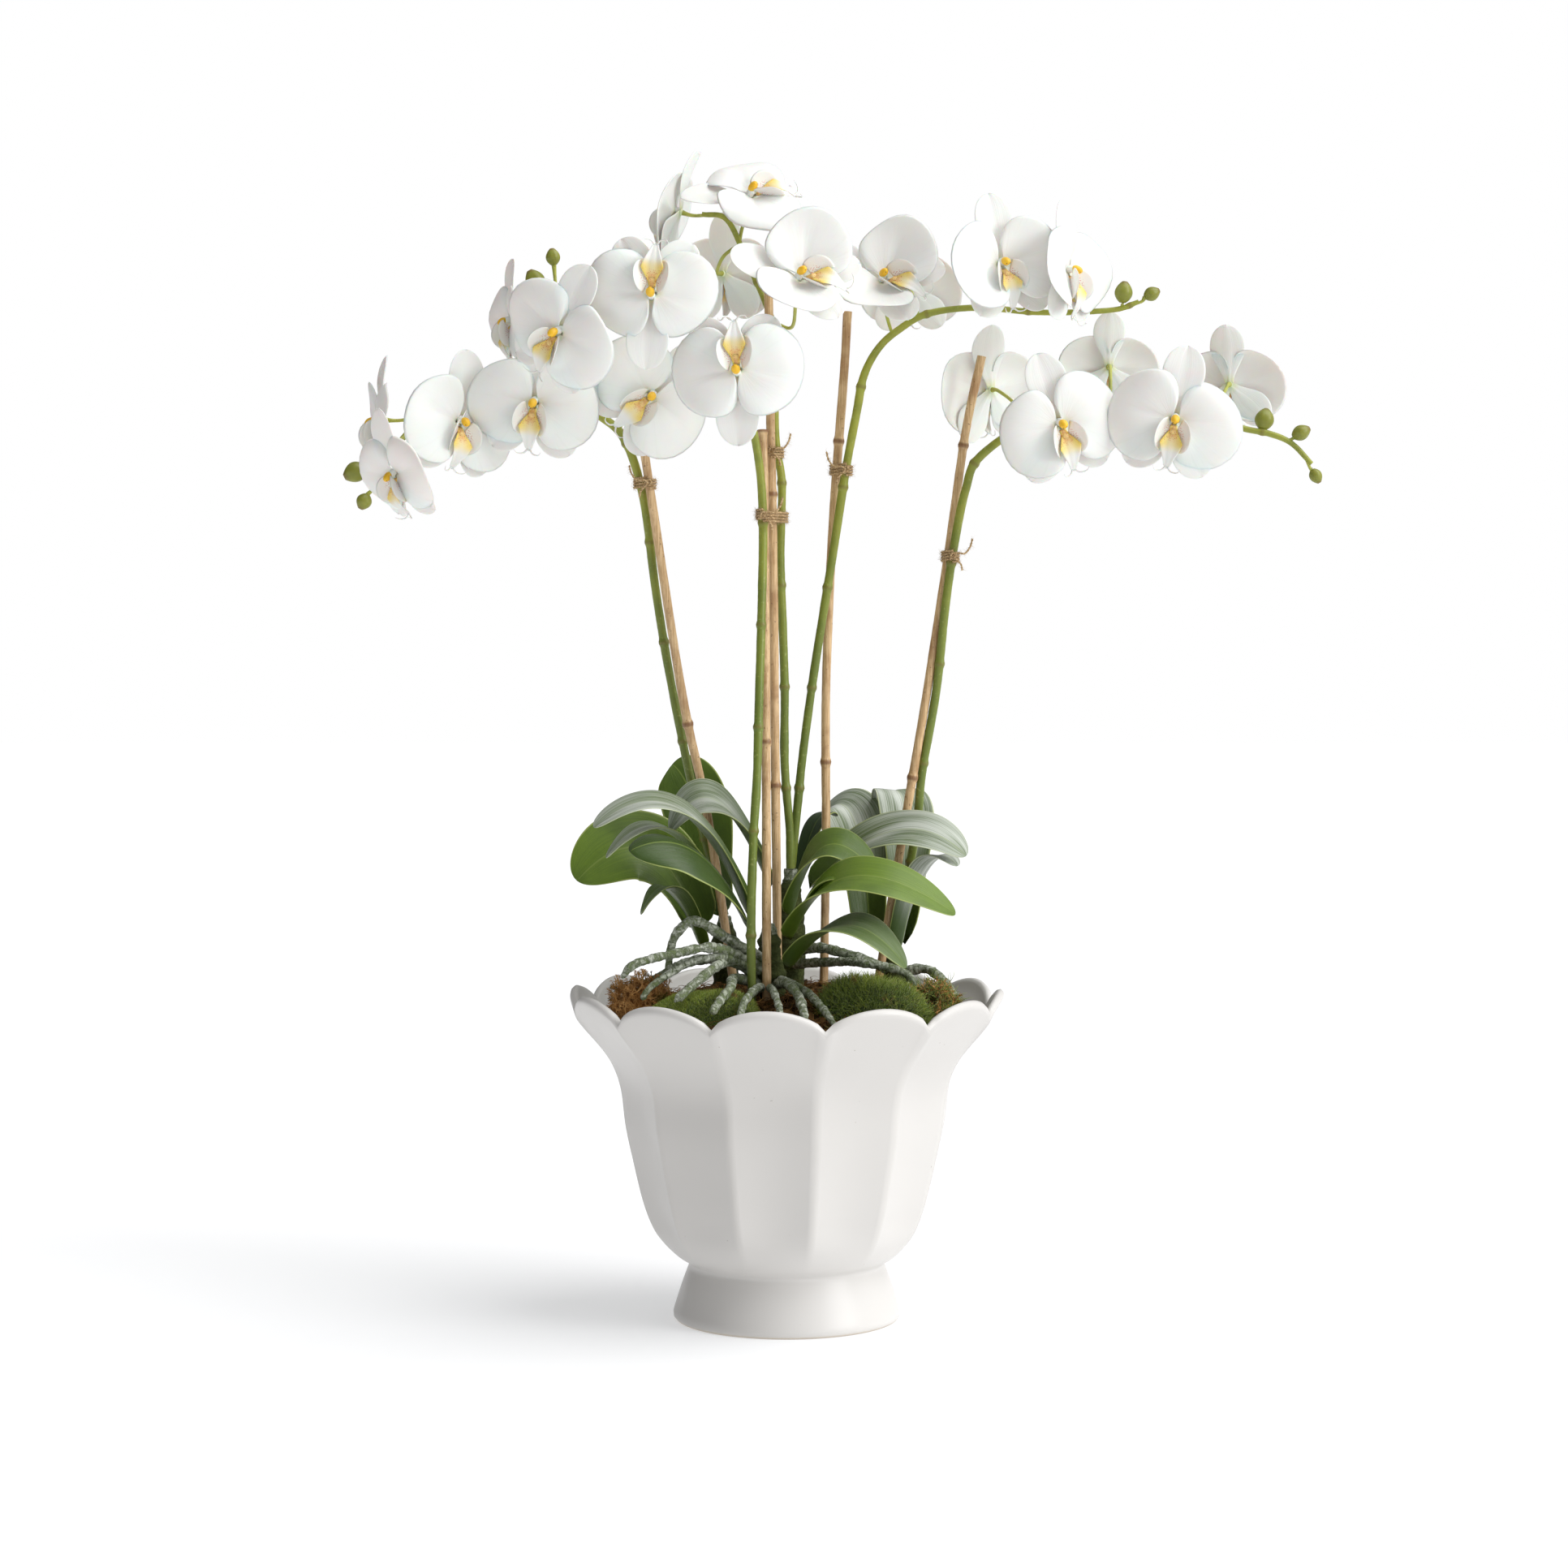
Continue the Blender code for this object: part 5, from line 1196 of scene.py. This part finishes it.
def join_skins(name, skins, finishes):
    """One mesh from several skins, with their pattern as a UV map and their marks as a tint."""
    offsets = np.cumsum([0] + [len(part[0]) for part in skins[:-1]])
    faces = np.concatenate([part[1] + offset for part, offset in zip(skins, offsets)])
    pattern = np.concatenate([part[2] for part in skins])
    marks = np.concatenate([part[3] for part in skins])
    mesh = bpy.data.meshes.new(name)
    mesh.from_pydata(np.concatenate([part[0] for part in skins]).tolist(), [], faces.tolist())
    for finish in finishes:
        mesh.materials.append(finish)
    corner = np.empty(len(mesh.loops), dtype=np.int32)
    mesh.loops.foreach_get("vertex_index", corner)
    mesh.uv_layers.new(name="pattern").data.foreach_set("uv", pattern[corner].ravel())
    colours = np.concatenate([marks, np.ones((len(marks), 1))], axis=1)
    mesh.attributes.new("tint", "FLOAT_COLOR", "POINT").data.foreach_set("color", colours.ravel())
    mesh.polygons.foreach_set("material_index", np.concatenate([
        np.full(len(part[1]), part[4]) for part in skins]).astype(np.int32))
    close_mesh(mesh, 0.000002)
    mesh.shade_smooth()
    return mesh


def smoothstep(low, high, value):
    """A soft step from 0 to 1 as a value goes from low to high."""
    share = np.clip((value - low) / (high - low), 0.0, 1.0)
    return share * share * (3 - 2 * share)


def leaf_skin(base, top, tip, half_width, roll, fold, painted_sheen, light):
    """A strap leaf on a Bezier arch: keeled at its base, flat and rounded at its tip."""
    rows, columns = 56, 21
    base, top, tip = (np.array(p) for p in (base, top, tip))
    control = top * 2 - (base + tip) / 2
    middle = np.zeros((rows, columns, 3))
    half_thick = np.zeros((rows, columns))
    pattern = np.zeros((rows, columns, 2))
    marks = np.zeros((rows, columns, 3))
    x = np.sin(np.linspace(-math.pi / 2, math.pi / 2, columns))
    for row in range(rows):
        share = 1 - (1 - row / (rows - 1)) ** 1.5
        spine = (base * (1 - share) + control * share) * (1 - share)
        spine = spine + (control * (1 - share) + tip * share) * share
        along = (control - base) * (1 - share) + (tip - control) * share
        along = along / np.linalg.norm(along)
        side = np.cross(along, (0, 0, 1))
        side = side / np.linalg.norm(side)
        side = np.array(Matrix.Rotation(math.radians(roll), 3, Vector(along)) @ Vector(side))
        up = np.cross(side, along)
        taper = math.sqrt(max(0.0, 1 - max(0.0, (share - 0.5) / 0.5) ** 2.4))
        wide = half_width * (0.50 + 0.50 * smoothstep(0.0, 0.5, share)) * taper * min(1.0, 16 * share) ** 0.5
        lift = (fold + 0.95 * (1 - share) ** 3) * 0.7 * np.abs(x) ** 1.5
        wave = 0.035 * np.sin(11 * share + 2.2 * x + half_width * 900) * np.abs(x) ** 2
        groove = -0.030 * np.exp(-(x / 0.07) ** 2) * np.sign(fold + 0.01)
        middle[row] = spine + np.outer(x * wide, side) + np.outer((lift + wave + groove) * wide, up)
        thick = 0.0013 * (1 - 0.35 * share) * np.sqrt(np.maximum(0.0, 1 - np.abs(x) ** 5))
        half_thick[row] = thick * min(1.0, 6 * (1 - share) ** 0.5) * min(1.0, 20 * share)
        pattern[row, :, 0] = x / 2 + 0.5
        pattern[row, :, 1] = share
        # Painted sheen: the red mark asks the leaf material for near-white streaks that stand in for
        # reflected light.
        marks[row, :, 0] = painted_sheen * smoothstep(0.10, 0.45, share)
        # Painted light and shade: the green mark sets how light the leaf's green is painted, darker toward
        # the crown.
        marks[row, :, 1] = light * (0.75 + 0.35 * share)
    return skin(middle, half_thick, pattern, marks)


for leaf, shape in LEAVES.items():
    mesh = join_skins(leaf + "_blade", [leaf_skin(*shape)], [leaf_green])
    show(leaf + "_blade", mesh, "leaf", leaf)

# Two young leaf tips peep out between the big ones.
YOUNG = {
    "leaf_tip_left": ((-0.060, 0.010, 0.330), (-0.096, -0.016, 0.366), (-0.132, -0.030, 0.344),
                      0.012, -10, 0.10, 0.6, 0.5),
    "leaf_tip_right": ((0.014, -0.052, 0.306), (0.034, -0.066, 0.334), (0.066, -0.070, 0.324),
                       0.009, 28, 0.10, 0.0, 0.6),
}
for leaf, shape in YOUNG.items():
    show(leaf, join_skins(leaf, [leaf_skin(*shape)], [leaf_green]), "leaf")

# ------------------------------------------------------------------ flowers
# Moth orchids with thick waxy white tepals. Two broad petals lie in front of three narrower
# sepals. The lip has two upright side lobes edged with yellow, red spots on its callus, and
# a pointed middle lobe with two tendrils; a yellow cap sits on the end of the white column.
petal_white, tree, shader = start_finish("petal white", 0.48, {
    "Specular IOR Level": 0.35, "Subsurface Weight": 0.30, "Subsurface Scale": 0.004,
    "Sheen Weight": 0.15, "Sheen Roughness": 0.4})
spot = place_on(tree)
lie = put(tree, "ShaderNodeUVMap", uv_map="pattern").outputs[0]
marks = put(tree, "ShaderNodeAttribute", attribute_name="tint")
mark = put(tree, "ShaderNodeSeparateColor", {0: marks.outputs["Color"]}).outputs
vein_lie = stretch(tree, lie, (34.0, 1.4, 1.0))
vein = mottle(tree, vein_lie, 1.0, 3.0, 0.55)
petal_tone = tint(tree, mottle(tree, spot, 30.0, 3.0), paint(238, 238, 234), paint(244, 244, 241))
petal_tone = tint(tree, fade(tree, vein, 0.55, 0.75, 0.0, 0.22), petal_tone, paint(222, 224, 214))
petal_tone = tint(tree, times(tree, mark["Red"], 0.8), petal_tone, paint(226, 230, 176))
colour_in(tree, shader, petal_tone)
fine_grain = times(tree, mottle(tree, spot, 1400.0, 2.0), 0.12)
relief(tree, shader, plus(tree, vein, fine_grain), 0.0006, 0.35)

lip_white, tree, shader = start_finish("lip", 0.42, {"Specular IOR Level": 0.4,
                                                    "Subsurface Weight": 0.25, "Subsurface Scale": 0.003})
lie = put(tree, "ShaderNodeUVMap", uv_map="pattern").outputs[0]
marks = put(tree, "ShaderNodeAttribute", attribute_name="tint")
mark = put(tree, "ShaderNodeSeparateColor", {0: marks.outputs["Color"]}).outputs
lip_tone = tint(tree, mark["Red"], paint(236, 236, 231), paint(244, 214, 104))
lip_tone = tint(tree, mark["Green"], lip_tone, paint(240, 172, 92))
cell = put(tree, "ShaderNodeTexVoronoi", {"Vector": lie, "Scale": 17.0, "Randomness": 0.85})
freckle = times(tree, fade(tree, cell.outputs["Distance"], 0.22, 0.34, 1.0, 0.0), mark["Blue"])
colour_in(tree, shader, tint(tree, freckle, lip_tone, paint(196, 62, 44)))
relief(tree, shader, mottle(tree, lie, 30.0, 3.0), 0.0004, 0.4)

cap_yellow, tree, shader = start_finish("anther yellow", 0.38, {"Specular IOR Level": 0.45,
                                                                "Subsurface Weight": 0.15,
                                                                "Subsurface Scale": 0.002})
spot = place_on(tree)
colour_in(tree, shader, tint(tree, mottle(tree, spot, 320.0, 3.0), paint(236, 176, 30), paint(250, 206, 62)))
relief(tree, shader, mottle(tree, spot, 900.0, 3.0), 0.0003, 0.4)

pollen_dark, tree, shader = start_finish("pollen eye", 0.3)
spot = place_on(tree)
colour_in(tree, shader, tint(tree, mottle(tree, spot, 900.0), paint(58, 34, 22), paint(92, 52, 30)))

PATTERN_SIZE = 0.016
PETAL_REACH = [(-92, 0.014), (-80, 0.030), (-62, 0.037), (-40, 0.044), (-18, 0.0475), (5, 0.0465),
               (28, 0.0435), (50, 0.0385), (70, 0.0345), (84, 0.0300), (94, 0.016)]


def over_grid(grid, *values):
    """Values that run along or across, spread over a whole grid and laid side by side."""
    return np.stack([np.broadcast_to(value, grid.shape) for value in values], axis=-1)


def petal_skin(side, cup, ruffle, phase, swing, spread):
    """A broad petal: a fan from its claw, with a soft crown and a rolled edge."""
    rows, columns = 22, 34
    share = np.linspace(0.0, 1.0, rows)[:, None] ** 0.85
    sweep_angle = np.linspace(-1.0, 1.0, columns)[None, :]
    degrees = 1.0 + 93.0 * np.sin(sweep_angle * math.pi / 2)
    aims, reaches = zip(*PETAL_REACH)
    smooth_aims = np.linspace(-92, 94, 94)
    smooth_reach = np.interp(smooth_aims, aims, reaches)
    for _ in range(30):
        smooth_reach[1:-1] = (smooth_reach[:-2] + smooth_reach[1:-1] * 2 + smooth_reach[2:]) / 4
    reach = np.interp(degrees, smooth_aims, smooth_reach) * share
    angle = np.radians(degrees + swing)
    reach = reach * spread * (1 + 0.03 * ruffle * np.sin(3.1 * angle + phase))
    x = 0.0022 + reach * np.cos(angle)
    y = -0.0015 + reach * np.sin(angle)
    out = reach / 0.047
    z = 0.0022 + cup * out ** 2 + 0.0048 * np.sin(math.pi * np.minimum(1.0, out) ** 0.8)
    z = z - 0.0042 * share ** 6 * (1.0 - 0.5 * min(1.0, cup / 0.01))
    z = z + ruffle * share ** 3 * np.sin(2.6 * angle + phase) * 0.0042
    z = z + ruffle * share ** 4 * np.sin(5.3 * angle + 1.7 * phase) * 0.0017
    z = z - 0.0014 * np.exp(-((angle - 0.15) / 0.16) ** 2) * np.sin(math.pi * share) ** 2
    middle = over_grid(z, side * x, y, z)
    edge = np.sqrt(np.maximum(0.0, 1 - share ** 8)) * np.sqrt(np.maximum(0.0, 1 - sweep_angle ** 8))
    half_thick = 0.00075 * edge * np.minimum(1.0, share * 8)
    pattern = over_grid(z, sweep_angle / 2 + 0.5, share)
    green = 0.6 * (1 - smoothstep(0.03, 0.16, share))
    return skin(middle, half_thick, pattern, over_grid(z, green, 0.0, 0.0))


def sepal_skin(aim, length, half_width, reflex, ruffle, phase):
    """A narrow sepal behind the petals, with a shallow channel down its middle."""
    rows, columns = 26, 15
    share = (1 - (1 - np.linspace(0.0, 1.0, rows)) ** 1.6)[:, None]
    across = np.sin(np.linspace(-math.pi / 2, math.pi / 2, columns))[None, :]
    taper = np.sqrt(np.maximum(0.0, 1 - np.maximum(0.0, (share - 0.58) / 0.42) ** 2.3))
    wide = half_width * (0.24 + 0.76 * smoothstep(0.0, 0.62, share)) * taper
    aim = math.radians(aim)
    along = np.array([math.cos(aim), math.sin(aim), 0.0])
    aside = np.array([-math.sin(aim), math.cos(aim), 0.0])
    z = -0.0012 - reflex * share ** 2 + 0.0030 * np.sin(math.pi * share) + 0.10 * wide * across ** 2
    z = z - 0.0007 * np.exp(-(across / 0.12) ** 2)
    z = z + ruffle * 0.0012 * share ** 2 * across * np.sin(6 * share + phase)
    middle = (share * length)[..., None] * along + (wide * across)[..., None] * aside
    middle[..., 2] += z
    edge = np.sqrt(np.maximum(0.0, 1 - across ** 8)) * np.minimum(1.0, 5 * (1 - share) ** 0.5)
    half_thick = 0.0007 * edge * np.minimum(1.0, share * 12)
    pattern = over_grid(z, across / 2 + 0.5, share)
    green = 0.9 * (1 - smoothstep(0.03, 0.20, share))
    return skin(middle, half_thick, pattern, over_grid(z, green, 0.0, 0.0))


def side_lobe_skin(side):
    """One upright lobe of the lip, curved in toward the column, with a yellow outer edge."""
    rows, columns = 14, 18
    share = np.linspace(0.0, 1.0, rows)[:, None]
    fan = np.linspace(-1.0, 1.0, columns)[None, :]
    angle = np.radians(78 * fan)
    reach = 0.0172 * share * (0.62 + 0.38 * np.cos(angle * 0.9))
    forward = np.array([0.78, -0.26, 0.56])
    forward = forward / np.linalg.norm(forward)
    across = np.array([0.28, -0.95, -0.05])
    across = across - forward * np.dot(across, forward)
    across = across / np.linalg.norm(across)
    inward = np.cross(forward, across)
    inward = inward * (1 if inward[0] < 0 else -1)
    middle = np.array([0.0022, -0.0112, 0.0056]) + (reach * np.cos(angle))[..., None] * forward
    middle = middle + (reach * np.sin(angle))[..., None] * across
    middle = middle + (0.0042 * share ** 2 * np.cos(angle) ** 2)[..., None] * inward
    middle = middle * np.array([side, 1.0, 1.0])
    edge = np.sqrt(np.maximum(0.0, 1 - share ** 8)) * np.sqrt(np.maximum(0.0, 1 - fan ** 8))
    half_thick = 0.00055 * edge * np.minimum(1.0, share * 6)
    pattern = over_grid(reach, middle[..., 0] / PATTERN_SIZE,
                        middle[..., 1] / PATTERN_SIZE + middle[..., 2] / (1.25 * PATTERN_SIZE))
    yellow = smoothstep(0.35, 0.95, fan) * smoothstep(0.45, 0.95, share)
    spots = (1 - smoothstep(0.45, 0.62, share)) * (1 - smoothstep(0.2, 0.7, fan))
    return skin(middle, half_thick, pattern, over_grid(reach, yellow * 0.9, 0.0, spots), 1)


def middle_lobe_skin():
    """The pointed middle lobe: an arrowhead with a raised keel, yellow at its base."""
    rows, columns = 24, 13
    share = (1 - (1 - np.linspace(0.0, 1.0, rows)) ** 1.3)[:, None]
    across = np.sin(np.linspace(-math.pi / 2, math.pi / 2, columns))[None, :]
    stops = (0.0, 0.14, 0.30, 0.42, 0.60, 0.80, 0.93, 1.0)
    widths = (0.0024, 0.0030, 0.0062, 0.0084, 0.0066, 0.0040, 0.0026, 0.0004)
    wide = np.interp(share, stops, widths)
    y = -0.0050 - 0.0325 * share
    z = 0.0040 + 0.0075 * np.sin(math.pi * np.minimum(1.0, share * 1.05)) + 0.0010 * share
    z = z + 0.30 * wide * across ** 2 + 0.0008 * np.exp(-(across / 0.18) ** 2)
    middle = over_grid(z, wide * across, y, z)
    edge = np.sqrt(np.maximum(0.0, 1 - across ** 8)) * np.minimum(1.0, 4 * (1 - share) ** 0.5)
    half_thick = 0.0006 * edge * np.minimum(1.0, share * 10)
    pattern = middle[..., :2] / PATTERN_SIZE
    yellow = (1 - smoothstep(0.42, 0.66, share)) * (0.55 + 0.45 * np.abs(across))
    orange = (1 - smoothstep(0.24, 0.40, share)) * (1 - smoothstep(0.3, 0.9, np.abs(across)))
    spots = 1 - smoothstep(0.30, 0.46, share)
    return skin(middle, half_thick, pattern, over_grid(z, yellow, orange * 0.6, spots), 1)


def blob_skin(centre, radii, lean, finish, marks=(0.0, 0.0, 0.0), rows=12, columns=16):
    """A rounded lump, leaning forward or back by an angle about the side-to-side axis."""
    theta = np.linspace(0.0, math.pi, rows)[:, None]
    phi = np.linspace(0.0, math.tau, columns + 1)[None, :]
    ball = over_grid(theta + phi, radii[0] * np.sin(theta) * np.cos(phi),
                     radii[1] * np.sin(theta) * np.sin(phi), radii[2] * np.cos(theta))
    turn = np.array(Matrix.Rotation(math.radians(lean), 3, "X"))
    ball = ball @ turn.T + np.array(centre)
    number = np.arange(rows * (columns + 1)).reshape(rows, columns + 1)
    quads = np.stack([number[:-1, :-1], number[1:, :-1], number[1:, 1:], number[:-1, 1:]], axis=-1)
    pattern = ball[..., :2] / PATTERN_SIZE
    tints = np.tile(np.array(marks), (rows * (columns + 1), 1))
    return ball.reshape(-1, 3), quads.reshape(-1, 4), pattern.reshape(-1, 2), tints, finish


def thread_skin(points, start_radius, end_radius, finish):
    """A fine tapering tendril along a smooth route."""
    sides = 6
    route = smooth_path(points, 6)
    rows = len(route)
    rings = []
    for i, point in enumerate(route):
        along = (route[min(i + 1, rows - 1)] - route[max(i - 1, 0)]).normalized()
        aside = along.cross(Vector((0.3, 0.2, 1.0))).normalized()
        over = along.cross(aside)
        share = i / (rows - 1)
        radius = start_radius + (end_radius - start_radius) * share
        if i in (0, rows - 1):
            radius = 0.0
        rings.append([point + aside * radius * math.cos(math.tau * k / sides)
                      + over * radius * math.sin(math.tau * k / sides) for k in range(sides + 1)])
    tube = np.array(rings)
    number = np.arange(rows * (sides + 1)).reshape(rows, sides + 1)
    quads = np.stack([number[:-1, :-1], number[1:, :-1], number[1:, 1:], number[:-1, 1:]], axis=-1)
    points = tube.reshape(-1, 3)
    return points, quads.reshape(-1, 4), points[:, :2], np.zeros_like(points), finish


def bloom_skins(cup, seed):
    """All the skins of one open flower about its centre, as if it faced along +Z."""
    rng = np.random.default_rng(seed)
    ruffle = rng.uniform(0.5, 1.1)
    phases = rng.uniform(0, 6, 5)
    wobble = rng.uniform(-4, 4, 3)
    swings = rng.uniform(-6, 5, 2)
    spreads = rng.uniform(0.97, 1.04, 2)
    parts = [
        sepal_skin(90 + wobble[0], 0.0530, 0.0158, 0.004 - cup * 0.6, ruffle, phases[2]),
        sepal_skin(233 + wobble[1], 0.0480, 0.0150, 0.003 - cup * 0.5, ruffle, phases[3]),
        sepal_skin(307 + wobble[2], 0.0480, 0.0150, 0.003 - cup * 0.5, ruffle, phases[4]),
        petal_skin(1, cup, ruffle, phases[0], swings[0], spreads[0]),
        petal_skin(-1, cup, ruffle, phases[1], swings[1], spreads[1]),
        middle_lobe_skin(), side_lobe_skin(1), side_lobe_skin(-1),
        blob_skin((0, 0.0002, 0.0045), (0.0030, 0.0030, 0.0075), 8, 0, (0.10, 0, 0)),
        blob_skin((0, -0.0012, 0.0116), (0.0033, 0.0030, 0.0047), 30, 2),
        blob_skin((0, -0.0104, 0.0098), (0.0023, 0.0021, 0.0013), 0, 1, (0.7, 0.35, 1.0)),
        blob_skin((0.0013, -0.0036, 0.0146), (0.0005, 0.0005, 0.0005), 0, 3, rows=6, columns=8),
        blob_skin((-0.0013, -0.0036, 0.0146), (0.0005, 0.0005, 0.0005), 0, 3, rows=6, columns=8),
        blob_skin((0, 0, -0.0014), (0.0030, 0.0030, 0.0022), 0, 0, (1.0, 0, 0)),
    ]
    for side in (1, -1):
        parts.append(thread_skin([(side * 0.0006, -0.0358, 0.0052), (side * 0.0036, -0.0392, 0.0064),
                                  (side * 0.0080, -0.0394, 0.0092), (side * 0.0104, -0.0364, 0.0130)],
                                 0.0008, 0.00022, 1))
    return parts


for number, (letter, place, turn, tilt, roll, size, cup) in enumerate(FLOWERS, 1):
    axes = flower_frame(place, turn, tilt, roll) @ Matrix.Scale(size, 4)
    mesh = join_skins(f"flower_{number:02d}_bloom", bloom_skins(cup, 100 + number),
                      [petal_white, lip_white, cap_yellow, pollen_dark])
    mesh.transform(axes)
    show(f"flower_{number:02d}_bloom", mesh, "petal", f"flower_{number:02d}_{letter}")
